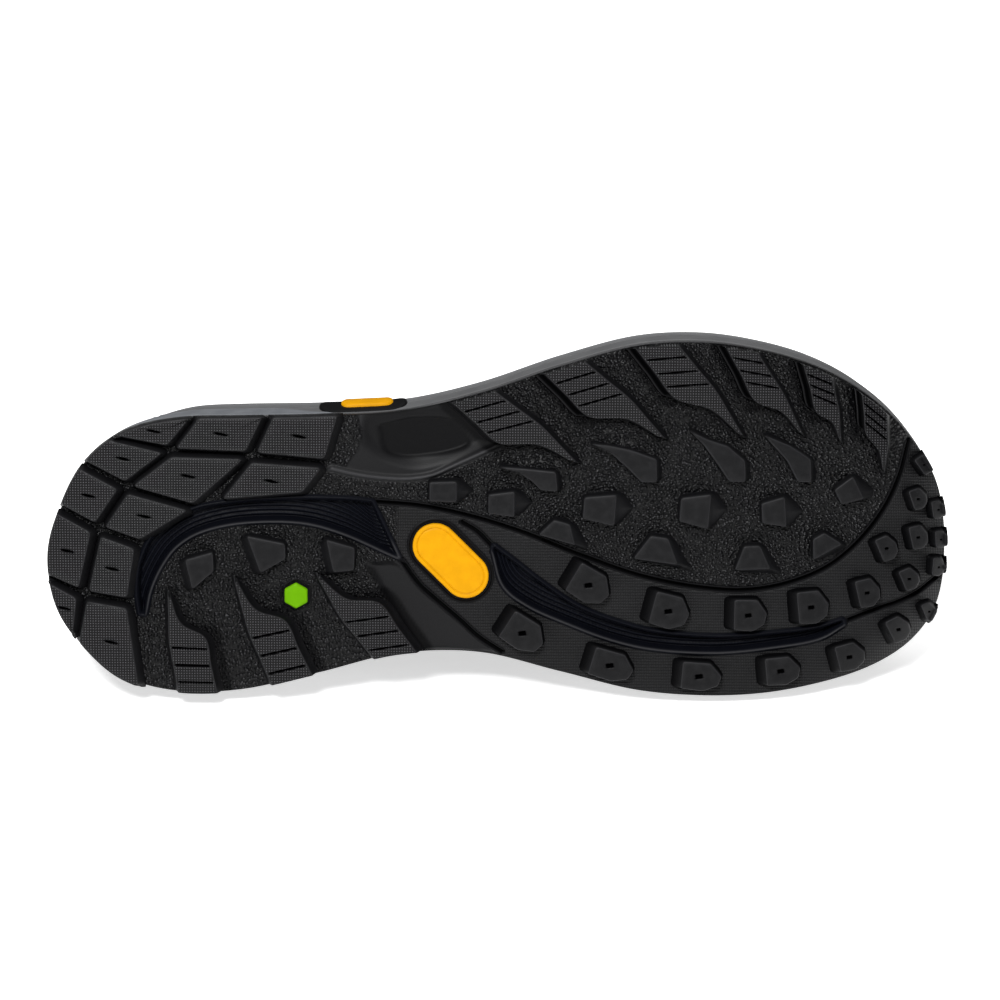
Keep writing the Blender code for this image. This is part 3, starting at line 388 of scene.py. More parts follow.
def ease(value):
    """0 below 0, 1 above 1 and an S between them: 3t^2 - 2t^3."""
    t = np.clip(value, 0.0, 1.0)
    return t * t * (3.0 - 2.0 * t)


def step_at(depth, before, width):
    """Eased step of a depth that starts the given length before 0 and is full after a width."""
    return ease((depth + before) / width)


def raised(plan, height):
    """Plan points with their heights as a third value."""
    return np.concatenate([plan, height[..., None]], axis=-1)


def swell(gap, half):
    """A soft hump over a gap g with a half width h: exp(-(g / h)^2)."""
    return np.exp(-(gap / half) ** 2)


FINE_STEPS = 8
TINY = 1e-9


def run_along(points):
    """Length along a line of points, from 0 at the first."""
    return np.concatenate([[0.0], np.cumsum(np.linalg.norm(np.diff(points, axis=0), axis=1))])


def read_along(run, points, at):
    """Points of a line read at the given lengths along it."""
    return np.stack([np.interp(at, run, places) for places in points.T], axis=1)


def unit(vectors):
    """Vectors in the same directions with a length of 1."""
    return vectors / np.maximum(np.linalg.norm(vectors, axis=-1, keepdims=True), TINY)


def counter_clockwise(corners):
    """Corners of a polygon in counter-clockwise order."""
    corners = np.asarray(corners, dtype=float)
    area = np.cross(corners, np.roll(corners, -1, axis=0)).sum()
    return corners if area >= 0.0 else corners[::-1]


def route_through(corners, count):
    """Smooth route through plan points, cut into even steps of length."""
    corners = np.asarray(corners, dtype=float)
    knots = run_along(corners)
    fine = np.linspace(0.0, knots[-1], FINE_STEPS * count)
    route = np.stack([curve_through(knots, places, fine) for places in corners.T], axis=1)
    run = run_along(route)
    return read_along(run, route, np.linspace(0.0, run[-1], count))


# Sole in plan

def turn_of(along):
    """Angle that stands for a place along the sole, so that both ends close round."""
    return np.arccos(np.clip(1.0 - 2.0 * np.asarray(along, dtype=float) / SOLE_LENGTH, -1.0, 1.0))


def along_of(turn):
    """Place along the sole that an angle stands for."""
    return 0.5 * SOLE_LENGTH * (1.0 - np.cos(turn))


def deck_height(along):
    """Height of the midsole's deck at a place along the sole."""
    stations = column(SOLE_SECTIONS, SOLE_COLUMNS, "along")
    return curve_through(stations, column(SOLE_SECTIONS, SOLE_COLUMNS, "deck"), along)


def side_edge(turn, side):
    """How far across the sole's edge lies on one side, at an angle along the sole."""
    stations = turn_of(column(SOLE_SECTIONS, SOLE_COLUMNS, "along"))
    return curve_through(stations, column(SOLE_SECTIONS, SOLE_COLUMNS, side), turn)


def sole_edge(angle):
    """Plan point of the sole's edge: heel at 0, lateral side, toe at pi, medial side."""
    angle = np.mod(angle, TAU)
    turn = np.where(angle <= math.pi, angle, TAU - angle)
    across = np.where(angle <= math.pi, side_edge(turn, "lateral"), side_edge(turn, "medial"))
    return np.stack([along_of(turn), across], axis=-1)


def edge_normal(angle):
    """Unit normal of the sole's edge in plan, pointing out."""
    tangent = sole_edge(angle + EDGE_STEP) - sole_edge(angle - EDGE_STEP)
    normal = np.stack([-tangent[..., 1], tangent[..., 0]], axis=-1)
    return unit(normal)


OUTLINE_ANGLES = np.linspace(0.0, TAU, OUTLINE_POINTS, endpoint=False)
OUTLINE = sole_edge(OUTLINE_ANGLES)


def nearest_on(points, line, closed):
    """Distance from plan points to a line of straight runs, and the number of the nearest run."""
    start = line if closed else line[:-1]
    end = np.roll(line, -1, axis=0) if closed else line[1:]
    run = end - start
    length = (run * run).sum(-1)
    flat = points.reshape(-1, 2)
    gaps = np.empty(len(flat))
    which = np.empty(len(flat), dtype=int)
    for first in range(0, len(flat), CHUNK):
        offset = flat[first:first + CHUNK, None, :] - start[None]
        share = np.clip((offset * run).sum(-1) / length, 0.0, 1.0)
        square = ((offset - share[..., None] * run) ** 2).sum(-1)
        best = square.argmin(axis=1)
        which[first:first + CHUNK] = best
        gaps[first:first + CHUNK] = np.sqrt(square[np.arange(len(best)), best])
    return gaps.reshape(points.shape[:-1]), which.reshape(points.shape[:-1])


def inside_loop(points, loop):
    """True where a plan point lies within a closed loop, by counting the crossings of a ray."""
    flat = points.reshape(-1, 2)
    end = np.roll(loop, -1, axis=0)
    rise = np.where(end[:, 1] == loop[:, 1], 1.0, end[:, 1] - loop[:, 1])
    within = np.zeros(len(flat), dtype=bool)
    for first in range(0, len(flat), CHUNK):
        part = flat[first:first + CHUNK]
        level = part[:, 1][:, None]
        crosses = (loop[None, :, 1] > level) != (end[None, :, 1] > level)
        meet = loop[:, 0] + (level - loop[:, 1]) * (end[:, 0] - loop[:, 0]) / rise
        within[first:first + CHUNK] = (crosses & (part[:, 0][:, None] < meet)).sum(axis=1) % 2 == 1
    return within.reshape(points.shape[:-1])


def depth_in(points, loop):
    """Signed distance to a closed loop, positive inside."""
    gaps, _ = nearest_on(points, loop, True)
    return np.where(inside_loop(points, loop), gaps, -gaps)


SOFT_LIMIT = 30.0


def soft_depth(points, corners, softness):
    """Depth inside a convex polygon, a soft minimum of the distances d to its sides:
    -s log(sum of exp(-d / s))."""
    corners = counter_clockwise(corners)
    run = np.roll(corners, -1, axis=0) - corners
    inward = unit(np.stack([-run[:, 1], run[:, 0]], axis=1))
    gaps = points @ inward.T - (corners * inward).sum(axis=1)
    steep = np.clip(gaps / softness, -SOFT_LIMIT, SOFT_LIMIT)
    return -softness * np.log(np.exp(-steep).sum(axis=-1))


def lift(points):
    """Rise of the tread over its plane: toe spring, toe wrap, heel bevel and arch."""
    along = points[..., 0]
    wrap = np.zeros(along.shape)
    front = along > TOE_WRAP_START
    if front.any():
        depth, _ = nearest_on(points[front], OUTLINE, True)
        reach = np.clip((along[front] - TOE_WRAP_START) / (TOE_WRAP_FULL - TOE_WRAP_START), 0.0, 1.0)
        wrap[front] = reach * np.clip(1.0 - depth / TOE_WRAP_WIDTH, 0.0, 1.0) ** 2
    spring = np.clip((along - ROLL_START) / (SOLE_LENGTH - ROLL_START), 0.0, 1.0) ** 2
    bevel = np.clip(1.0 - along / HEEL_BEVEL_LENGTH, 0.0, 1.0) ** 2
    arch = np.sin(math.pi * np.clip((along - ARCH_START) / (ARCH_END - ARCH_START), 0.0, 1.0)) ** 2
    return TOE_SPRING * spring + TOE_WRAP * wrap + HEEL_BEVEL * bevel + ARCH_LIFT * arch


def held_inside(points, margin):
    """Plan points kept at least the margin inside the sole's edge."""
    gaps, which = nearest_on(points, OUTLINE, True)
    within = inside_loop(points, OUTLINE)
    middle = 0.5 * (OUTLINE + np.roll(OUTLINE, -1, axis=0))
    run = unit(np.roll(OUTLINE, -1, axis=0) - OUTLINE)
    out = np.stack([-run[:, 1], run[:, 0]], axis=1)
    beyond = ((points - middle[which]) * out[which]).sum(-1) + margin
    free = within & (gaps >= margin)
    return np.where(free[..., None], points, points - beyond[..., None] * out[which])


# From the shoe's axes to the frame

CAMERA_TILT = 11.4
CAMERA_LENS = 150.0
CAMERA_SENSOR = 36.0
CAMERA_AIM = (151.8, 68.4, 0.0)
PHOTO_WIDTH = 336.0
CAMERA_RANGE = PHOTO_WIDTH * CAMERA_LENS / CAMERA_SENSOR


def lying_pose():
    """Turn from the standing shoe to the lying one: the roll, then the turn on the floor."""
    turn = Matrix.Rotation(math.radians(LYING_TURN), 3, "Y")
    return np.array(turn @ Matrix.Rotation(math.radians(-LYING_ROLL), 3, "X"))


POSE = lying_pose()


def node_in_shoe_axes(name):
    """Points of a CAD node turned back to the shoe's axes, in metres."""
    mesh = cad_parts[name].data
    spots = np.empty(3 * len(mesh.vertices))
    mesh.vertices.foreach_get("co", spots)
    return spots.reshape(-1, 3) @ POSE


def shoe_origin():
    """Where the shoe's own origin lies: found from the waist inlay's middle and the tread's plane."""
    inlay = node_in_shoe_axes("sole_inlay")
    middle = 0.5 * (inlay.min(axis=0) + inlay.max(axis=0))
    ground = node_in_shoe_axes("outsole")[:, 2].min()
    return np.array([middle[0] - INLAY_CENTRE[0] * MM, middle[1] + INLAY_CENTRE[1] * MM, ground])


ORIGIN = shoe_origin()


def placed(spots):
    """Shoe points (along, across, height) in millimetres as points of the frame in metres.

    The plan tables are read off a picture as if the tread were flat, so places where it rises
    away are moved back along the line of sight."""
    spots = np.asarray(spots, dtype=float)
    rise = lift(spots[..., :2])
    ahead = (spots[..., 0] - CAMERA_AIM[0]) * rise / CAMERA_RANGE
    aside = (spots[..., 1] - CAMERA_AIM[1]) * rise / CAMERA_RANGE
    aside = aside - rise * math.tan(math.radians(CAMERA_TILT))
    spots = spots + np.stack([ahead, aside, np.zeros_like(rise)], axis=-1)
    return (spots * np.array([MM, -MM, MM]) + ORIGIN) @ POSE.T


# Meshes

def grid_faces(rows, columns, round_columns=False, round_rows=False, first=0):
    """Corner numbers of the quads of a grid, with an open or a closed run each way."""
    row = np.arange(rows if round_rows else rows - 1)
    place = np.arange(columns if round_columns else columns - 1)
    r, c = np.meshgrid(row, place, indexing="ij")
    r2 = (r + 1) % rows
    c2 = (c + 1) % columns
    quads = np.stack([r * columns + c, r * columns + c2, r2 * columns + c2, r2 * columns + c], axis=-1)
    return quads.reshape(-1, 4) + first


def grid_rim(rows, columns):
    """Numbers of a grid's border points, in order round it."""
    numbers = np.arange(rows * columns).reshape(rows, columns)
    return np.concatenate([numbers[0, :], numbers[1:, -1], numbers[-1, -2::-1], numbers[-2:0:-1, 0]])


def ring_quads(low, high):
    """Quads between two closed rings of point numbers."""
    return np.stack([low, np.roll(low, -1), np.roll(high, -1), high], axis=1)


def end_caps(rings, size):
    """Point numbers of the first and the last ring of a stack of rings."""
    return np.array([np.arange(size), (rings - 1) * size + np.arange(size)])


def make_piece(name, spots, face_sets, finish, replaces=(), uv=None, marks=None, crease=None):
    """A mesh object from whole arrays: shoe points, sets of equal-sided faces, plan UV and point marks."""
    mesh = bpy.data.meshes.new(name)
    world = placed(spots).reshape(-1, 3)
    mesh.vertices.add(len(world))
    mesh.vertices.foreach_set("co", world.ravel())
    sides = np.concatenate([np.full(len(faces), faces.shape[1]) for faces in face_sets])
    corners = np.concatenate([faces.ravel() for faces in face_sets])
    mesh.loops.add(len(corners))
    mesh.loops.foreach_set("vertex_index", corners.astype(np.int32))
    mesh.polygons.add(len(sides))
    mesh.polygons.foreach_set("loop_start", np.concatenate([[0], np.cumsum(sides)[:-1]]).astype(np.int32))
    mesh.polygons.foreach_set("use_smooth", np.ones(len(sides), dtype=bool))
    mesh.update(calc_edges=True)
    if uv is not None:
        layer = mesh.uv_layers.new(name="UVMap")
        layer.data.foreach_set("uv", np.asarray(uv, dtype=float).reshape(-1, 2)[corners].ravel())
    for mark, values in (marks or {}).items():
        attribute = mesh.attributes.new(mark, "FLOAT", "POINT")
        attribute.data.foreach_set("value", np.asarray(values, dtype=np.float32).ravel())
    tidy = bmesh.new()
    tidy.from_mesh(mesh)
    bmesh.ops.recalc_face_normals(tidy, faces=tidy.faces)
    tidy.to_mesh(mesh)
    tidy.free()
    if crease is not None:
        mesh.set_sharp_from_angle(angle=math.radians(crease))
    mesh.materials.append(finish)
    piece = bpy.data.objects.new(name, mesh)
    bpy.context.scene.collection.objects.link(piece)
    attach(piece, "root")
    if replaces:
        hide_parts(*replaces)
    return piece


# Finishes

NOISE_ROUGH = 0.55
CLOUD_LOW = 0.35
CLOUD_HIGH = 0.7
GRAIN_DETAIL = 2.0


class Finish:
    """A node material with short helpers for its pattern nodes."""

    def __init__(self, name, colour, roughness, specular=0.5):
        self.material = bpy.data.materials.new(name)
        self.material.use_nodes = True
        self.nodes = self.material.node_tree.nodes
        self.links = self.material.node_tree.links
        self.shader = self.nodes["Principled BSDF"]
        self.shader.inputs["Base Color"].default_value = (*colour, 1.0)
        self.shader.inputs["Roughness"].default_value = roughness
        self.shader.inputs["Specular IOR Level"].default_value = specular

    def add(self, kind, **settings):
        """A new node with its settings."""
        node = self.nodes.new(kind)
        for name, value in settings.items():
            setattr(node, name, value)
        return node

    def join(self, source, target):
        """Links one socket to another."""
        self.links.new(source, target)

    def fill(self, socket, value):
        """Links a socket, or sets a plain value."""
        if isinstance(value, bpy.types.NodeSocket):
            self.join(value, socket)
        else:
            socket.default_value = value

    def plan(self):
        """The mesh's own UV, in metres."""
        return self.add("ShaderNodeUVMap", uv_map="UVMap").outputs["UV"]

    def space(self):
        """The object's coordinates, in metres."""
        return self.add("ShaderNodeTexCoord").outputs["Object"]

    def mark(self, name):
        """A point mark of the mesh."""
        return self.add("ShaderNodeAttribute", attribute_name=name).outputs["Fac"]

    def sum(self, operation, first, second=0.0):
        """Arithmetic with one or two values."""
        node = self.add("ShaderNodeMath", operation=operation)
        for socket, value in zip(node.inputs, (first, second)):
            self.fill(socket, value)
        return node.outputs[0]

    def scaled(self, value, low, high, to_low, to_high):
        """A value carried from one range to another and held there."""
        node = self.add("ShaderNodeMapRange")
        for name, setting in (("Value", value), ("From Min", low), ("From Max", high),
                              ("To Min", to_low), ("To Max", to_high)):
            self.fill(node.inputs[name], setting)
        return node.outputs["Result"]

    def turned(self, vector, angle):
        """A vector turned in its plane by an angle in degrees."""
        node = self.add("ShaderNodeMapping")
        node.inputs["Rotation"].default_value = (0.0, 0.0, math.radians(angle))
        self.join(vector, node.inputs["Vector"])
        return node.outputs["Vector"]

    def noise(self, vector, pitch, detail=3.0):
        """Soft noise with a pitch in millimetres."""
        node = self.add("ShaderNodeTexNoise")
        node.inputs["Scale"].default_value = 1.0 / (pitch * MM)
        node.inputs["Detail"].default_value = detail
        node.inputs["Roughness"].default_value = NOISE_ROUGH
        self.join(vector, node.inputs["Vector"])
        return node.outputs["Fac"]

    def grains(self, vector, pitch, feature, randomness, smooth=0.0):
        """Distance to the nearest of scattered grains with a pitch in millimetres."""
        node = self.add("ShaderNodeTexVoronoi", feature=feature)
        node.inputs["Scale"].default_value = 1.0 / (pitch * MM)
        node.inputs["Randomness"].default_value = randomness
        if feature == "SMOOTH_F1":
            node.inputs["Smoothness"].default_value = smooth
        self.join(vector, node.inputs["Vector"])
        return node.outputs["Distance"]

    def waves(self, vector, axis, pitch):
        """Sine waves from -1 to 1 along one axis of a vector."""
        split = self.add("ShaderNodeSeparateXYZ")
        self.join(vector, split.inputs[0])
        angle = self.sum("MULTIPLY", split.outputs[axis], TAU / (pitch * MM))
        return self.sum("SINE", angle)

    def mixed(self, share, first, second):
        """The first colour where the share is 0, the second where it is 1."""
        node = self.add("ShaderNodeMix", data_type="RGBA")
        self.fill(node.inputs["Factor"], share)
        for place, value in ((6, first), (7, second)):
            self.fill(node.inputs[place], (*value, 1.0) if isinstance(value, tuple) else value)
        return node.outputs[2]

    def cloud(self, vector, pitch, low=CLOUD_LOW):
        """Soft patches from 0 to 1 with a pitch in millimetres."""
        return self.scaled(self.noise(vector, pitch), low, CLOUD_HIGH, 0.0, 1.0)

    def grain(self, vector, pitch, depth):
        """A fine grain in the surface."""
        self.relief(self.noise(vector, pitch, GRAIN_DETAIL), depth)

    def colour(self, value):
        """Base colour from a pattern."""
        self.join(value, self.shader.inputs["Base Color"])

    def roughness(self, value):
        """Roughness from a pattern."""
        self.join(value, self.shader.inputs["Roughness"])

    def sheen(self, value):
        """Strength of the reflection, from a pattern."""
        self.join(value, self.shader.inputs["Specular IOR Level"])

    def relief(self, height, depth):
        """Bump of a pattern height of 0 to 1, with its depth in millimetres, over the bumps before it."""
        node = self.add("ShaderNodeBump")
        node.inputs["Strength"].default_value = 1.0
        node.inputs["Distance"].default_value = depth * MM
        self.join(height, node.inputs["Height"])
        if self.shader.inputs["Normal"].is_linked:
            self.join(self.shader.inputs["Normal"].links[0].from_socket, node.inputs["Normal"])
        self.join(node.outputs["Normal"], self.shader.inputs["Normal"])


RUBBER = (0.0038, 0.0038, 0.0042)
RUBBER_PALE = (0.0062, 0.0062, 0.0067)
RUBBER_DARK = (0.0026, 0.0026, 0.003)
RUBBER_BLACK = (0.0012, 0.0012, 0.0014)
# Black of the painted shade in holes, slits and grooves
RUBBER_DEEP_SHADE = (0.0004, 0.0004, 0.0005)
# Pale colour of painted highlights on bevels, crests and rims
RUBBER_HIGHLIGHT = (0.022, 0.022, 0.0235)
# Pale colour of the painted highlight on the sheet's lateral rim
RUBBER_RIM_HIGHLIGHT = (0.05, 0.05, 0.052)
RUBBER_WOVEN = (0.012, 0.012, 0.0126)
# Pale colour of the glints painted on the pebble tops
RUBBER_GLINT = (0.05, 0.05, 0.0525)
DOT_DARK = (0.0025, 0.0025, 0.0028)
DOT_PALE = (0.046, 0.046, 0.0483)
RUBBER_SHEEN = 0.11
PLAIN_SHEEN = 0.085
SHADE_SHEEN = 0.05
WINDOW_SHEEN = 0.03
FLOOR_ROUGH = 0.5
PEBBLE_ROUGH = 0.3
LUG_ROUGH = (0.4, 0.56)
PEBBLE_PITCH = 1.1
PEBBLE_SOFT = 0.12
PEBBLE_RELIEF = 0.75
PEBBLE_TOP = (0.0, 0.7)
# Grain distances over which the gaps between pebbles are painted black as shade
PEBBLE_GAP_SHADE = (0.4, 0.62)
FLECK_PITCH = 0.8
FLECK_SHARE = 0.5
# Painted glints on the pebble tops: nearness to a pebble's middle, share of the fleck noise, dimming in the
# painted shade
GLINT_NEAR = (0.15, 0.36)
GLINT_PART = (0.42, 0.62)
GLINT_SHADED = 0.8
WEAVE_TURN = 30.0
WEAVE_PITCH = 1.0
WEAVE_RELIEF = 0.09
WEAVE_TOP = (0.2, 0.8)
FLOOR_CLOUD = 22.0
SCUFF_PITCH = 3.0
SCUFF_RANGE = (0.45, 0.7)
WEAR_PITCH = 6.0
WEAR_RANGE = (0.3, 0.7)
PATCH_PITCH = 5.0

# Fine grains: pitch and depth
FLOOR_GRAIN = (0.35, 0.05)
RUBBER_GRAIN = (0.4, 0.05)
LINE_GRAIN = (0.4, 0.04)
SMOOTH_GRAIN = (0.5, 0.03)


def floor_finish():
    """Black rubber: pebbled grain where marked, a fine woven grain elsewhere, plain where smooth; with
    painted sheen, highlights, shade and glints.
    """
    made = Finish("tread_floor_rubber", RUBBER, FLOOR_ROUGH, RUBBER_SHEEN)
    plan = made.plan()
    pebble = made.mark("pebble")
    woven = made.mark("woven")
    dark = made.mark("shade")
    grain = made.grains(plan, PEBBLE_PITCH, "SMOOTH_F1", 1.0, PEBBLE_SOFT)
    fleck = made.noise(plan, FLECK_PITCH, GRAIN_DETAIL)
    tops = made.scaled(grain, *PEBBLE_TOP, 1.0, 0.0)
    pebbles = made.sum("ADD", tops, made.sum("MULTIPLY", fleck, FLECK_SHARE))
    made.relief(made.sum("MULTIPLY", pebbles, pebble), PEBBLE_RELIEF)
    threads = [made.waves(made.turned(plan, angle), 0, WEAVE_PITCH) for angle in (WEAVE_TURN, -WEAVE_TURN)]
    weave = made.sum("MULTIPLY", made.sum("MULTIPLY", *threads), woven)
    made.relief(weave, WEAVE_RELIEF)
    made.grain(plan, *FLOOR_GRAIN)
    tone = made.mixed(made.cloud(plan, FLOOR_CLOUD), RUBBER_BLACK, RUBBER_DARK)
    smooth = made.sum("SUBTRACT", made.sum("SUBTRACT", 1.0, pebble), woven)
    # Smooth parts painted paler than the grained floor, a painted sheen
    tone = made.mixed(smooth, tone, RUBBER)
    tone = made.mixed(made.scaled(weave, *WEAVE_TOP, 0.0, 1.0), tone, RUBBER_WOVEN)
    # Painted highlight: the crest mark on the waist ridge and the hollow's rim
    tone = made.mixed(made.mark("crest"), tone, RUBBER_HIGHLIGHT)
    # Painted highlight on the sheet's lateral rim, from the lit mark
    tone = made.mixed(made.mark("lit"), tone, RUBBER_RIM_HIGHLIGHT)
    # Painted shade: black in the gaps between pebbles and under the shade mark
    gaps = made.sum("MULTIPLY", made.scaled(grain, *PEBBLE_GAP_SHADE, 0.0, 1.0), pebble)
    tone = made.mixed(made.sum("MAXIMUM", dark, gaps), tone, RUBBER_BLACK)
    # Painted glints: pale flecks on the pebble tops, dimmed in the painted shade
    near = made.scaled(grain, *GLINT_NEAR, 1.0, 0.0)
    glint = made.sum("MULTIPLY", near, made.scaled(fleck, *GLINT_PART, 0.0, 1.0))
    open_part = made.sum("SUBTRACT", 1.0, made.sum("MULTIPLY", dark, GLINT_SHADED))
    glint = made.sum("MULTIPLY", made.sum("MULTIPLY", glint, open_part), pebble)
    made.colour(made.mixed(glint, tone, RUBBER_GLINT))
    made.roughness(made.scaled(pebble, 0.0, 1.0, FLOOR_ROUGH, PEBBLE_ROUGH))
    made.sheen(made.scaled(dark, 0.0, 1.0, RUBBER_SHEEN, SHADE_SHEEN))
    return made.material


LINE_ROUGH = 0.6
LINE_SHEEN = 0.05


def line_finish():
    """Smooth rubber of a mould line, painted black as shade where it is deep."""
    made = Finish("mould_line_rubber", RUBBER_DARK, LINE_ROUGH, LINE_SHEEN)
    plan = made.plan()
    made.grain(plan, *LINE_GRAIN)
    lip = made.mixed(made.noise(plan, PATCH_PITCH), RUBBER_DARK, RUBBER)
    # The deep mark paints the groove's bottom black as shade
    made.colour(made.mixed(made.mark("deep"), lip, RUBBER_DEEP_SHADE))
    return made.material


DOT_PITCH = 0.9
DOT_RANGE = (-0.1, 0.55)
DOT_RELIEF = 0.2
LUG_BASE_ROUGH = 0.48
HIGHLIGHT_SHARE = 0.6


def lug_finish(name, dots):
    """Black rubber of the lugs: a square grid of fine dots on the marked tops, or a plain matte top.

    Bevels are marked as edge and painted paler, a painted highlight; walls are painted darker and
    the deep marks black, both painted shade."""
    sheen = RUBBER_SHEEN if dots else PLAIN_SHEEN
    made = Finish(name, RUBBER, LUG_BASE_ROUGH, sheen)
    plan = made.plan()
    top = made.mark("top")
    if dots:
        crossed = made.sum("MINIMUM", made.waves(plan, 0, DOT_PITCH), made.waves(plan, 1, DOT_PITCH))
        grid = made.sum("MULTIPLY", made.scaled(crossed, *DOT_RANGE, 0.0, 1.0), top)
        made.relief(grid, DOT_RELIEF)
        face = made.mixed(grid, DOT_DARK, DOT_PALE)
    else:
        scuff = made.scaled(made.noise(plan, SCUFF_PITCH, 4.0), *SCUFF_RANGE, 0.0, 1.0)
        face = made.mixed(scuff, RUBBER, RUBBER_PALE)
    # Walls painted darker than the tops, a painted shade
    body = made.mixed(top, RUBBER_DARK, face)
    # Painted highlight on the bevels, from the edge mark
    body = made.mixed(made.sum("MULTIPLY", made.mark("edge"), HIGHLIGHT_SHARE), body, RUBBER_HIGHLIGHT)
    # Painted shade: the deep mark is black and without reflection
    deep = made.mark("deep")
    made.colour(made.mixed(deep, body, RUBBER_DEEP_SHADE))
    made.sheen(made.scaled(deep, 0.0, 1.0, sheen, 0.0))
    made.grain(plan, *RUBBER_GRAIN)
    made.roughness(made.scaled(made.noise(plan, WEAR_PITCH), *WEAR_RANGE, *LUG_ROUGH))
    return made.material


WINDOW_ROUGH = 0.4
WINDOW_DIMPLE = (1.1, 0.25)
WINDOW_DIMPLE_RELIEF = 0.1
RIB_CREST = (0.55, 1.0)
NAVY = ((0.0005, 0.0006, 0.0012), (0.0011, 0.0013, 0.0025))
NAVY_TUBE = ((0.0016, 0.0018, 0.0028), (0.0027, 0.003, 0.0046))
NAVY_CREST = (0.0028, 0.0032, 0.005)


def window_finish():
    """Navy foam bed with long ribs and dimples between smooth navy rims, with a painted highlight line on one
    rim.
    """
    made = Finish("window_bed", RUBBER, WINDOW_ROUGH, WINDOW_SHEEN)
    plan = made.plan()
    bed = made.mark("bed")
    wave = made.sum("SINE", made.sum("MULTIPLY", made.mark("span"), TAU / (WINDOW_RIB_PITCH * MM)))
    rib = made.sum("MULTIPLY", made.scaled(wave, -1.0, 1.0, 0.0, 1.0), bed)
    made.relief(rib, WINDOW_RIB)
    pitch, scatter = WINDOW_DIMPLE
    made.relief(made.sum("MULTIPLY", made.grains(plan, pitch, "F1", scatter), bed), WINDOW_DIMPLE_RELIEF)
    made.grain(plan, *RUBBER_GRAIN)
    patches = made.noise(plan, PATCH_PITCH)
    navy = made.mixed(made.scaled(rib, *RIB_CREST, 0.0, 1.0), made.mixed(patches, *NAVY), NAVY_CREST)
    rim = made.mixed(made.mark("rim"), RUBBER_DARK, made.mixed(patches, *NAVY_TUBE))
    # Painted highlight along the rim, from the crest mark
    made.colour(made.mixed(made.mark("crest"), made.mixed(bed, rim, navy), RUBBER_HIGHLIGHT))
    return made.material


SMOOTH_PALE = 1.12
SMOOTH_CLOUD = 4.0
SMOOTH_CLOUD_LOW = 0.4


def smooth_rubber_finish(name, colour, roughness, specular=0.15):
    """Smooth rubber of one colour, with soft patches of a paler tone."""
    made = Finish(name, colour, roughness, specular)
    space = made.space()
    made.grain(space, *SMOOTH_GRAIN)
    pale = tuple(min(1.0, SMOOTH_PALE * part) for part in colour)
    made.colour(made.mixed(made.cloud(space, SMOOTH_CLOUD, SMOOTH_CLOUD_LOW), colour, pale))
    return made.material


# Tread floor: eased steps are given by the length before the edge and the width
LATERAL_HOLLOW_SOFT = 1.2
LATERAL_HOLLOW_STEP = (1.6, 4.4)
WAIST_PAD_STEP = (0.5, 1.3)
MEDIAL_HOLLOW_SOFT = 0.5
MEDIAL_HOLLOW_STEP = (0.5, 2.2)
MEDIAL_FLANK_LEAST = 0.3
WINDOW_SEAT = 2.5
WINDOW_SEAT_STEP = (0.8, 1.2)
LINE_SEAT = 1.2
LINE_SEAT_STEP = (0.95, 0.7)
INLAY_SEAT = 2.4
INLAY_SEAT_STEP = (1.5, 0.6)
PLUG_SEAT = 2.0
PLUG_SEAT_STEP = (0.8, 0.6)
PAD_POINTS = 80
ROUTE_POINTS = 80
RIDGE_POINTS = 60
CAPSULE_STEPS = 24

# Marks on the floor
FORE_LINE_STEP = (0.5, 1.0)
PEBBLE_FROM = 84.0
ISLAND_TO = 118.0
REGION_FADE = 2.0
MARK_SOFT = 0.6
SMOOTH_STEP = (0.6, 1.0)
SLOPE_STEP = (0.8, 1.0)
RIDGE_CLEAR_STEP = (-1.2, 1.0)
LINE_CLEAR_STEP = (-0.9, 0.8)
# Painted highlights: a line along the lateral hollow's rim (place, half width, fades across and along) and
# along the waist ridge's crest
HOLLOW_RIM = (0.3, 0.6)
HOLLOW_RIM_ACROSS = (86.0, 6.0)
HOLLOW_RIM_ALONG = (126.0, 8.0)
HOLLOW_RIM_HIGHLIGHT = 0.5
RIDGE_HIGHLIGHT_HALF = 0.5
RIDGE_HIGHLIGHT = 0.85
PAD_SHADE = 0.8
PAD_SHADE_STEP = (0.6, 1.2)
HOLLOW_SHADE = 0.45
HOLLOW_SHADE_STEP = (-0.6, 2.0)
LEDGE_SHADE_FADE = 1.4
FLANK_STRIDE = 6


def window_loop(rungs, steps):
    """Closed edge of a window: its lateral side forward, its medial side back."""
    lateral, medial = window_sides(rungs, np.linspace(0.0, len(rungs) - 1.0, steps))
    return np.concatenate([lateral, medial[::-1]])


def window_sides(rungs, places):
    """The two sides of a window: smooth curves through its rungs, read at places counted in rungs."""
    knots = np.arange(len(rungs))
    sides = []
    for side in ("lateral", "medial"):
        along = curve_through(knots, column(rungs, WINDOW_COLUMNS, side + "_along"), places)
        across = curve_through(knots, column(rungs, WINDOW_COLUMNS, side + "_across"), places)
        sides.append(np.stack([along, across], axis=1))
    return sides


def lateral_of_fore_line(plan):
    """How far a plan point lies on the lateral side of the long mould line."""
    route = np.array(FORE_LINE)
    return plan[..., 1] - np.interp(plan[..., 0], route[:, 0], route[:, 1])


def waist_pad():
    """Closed edge of the pad in the lateral waist."""
    return route_through(WAIST_PAD + WAIST_PAD[:1], PAD_POINTS)[:-1]


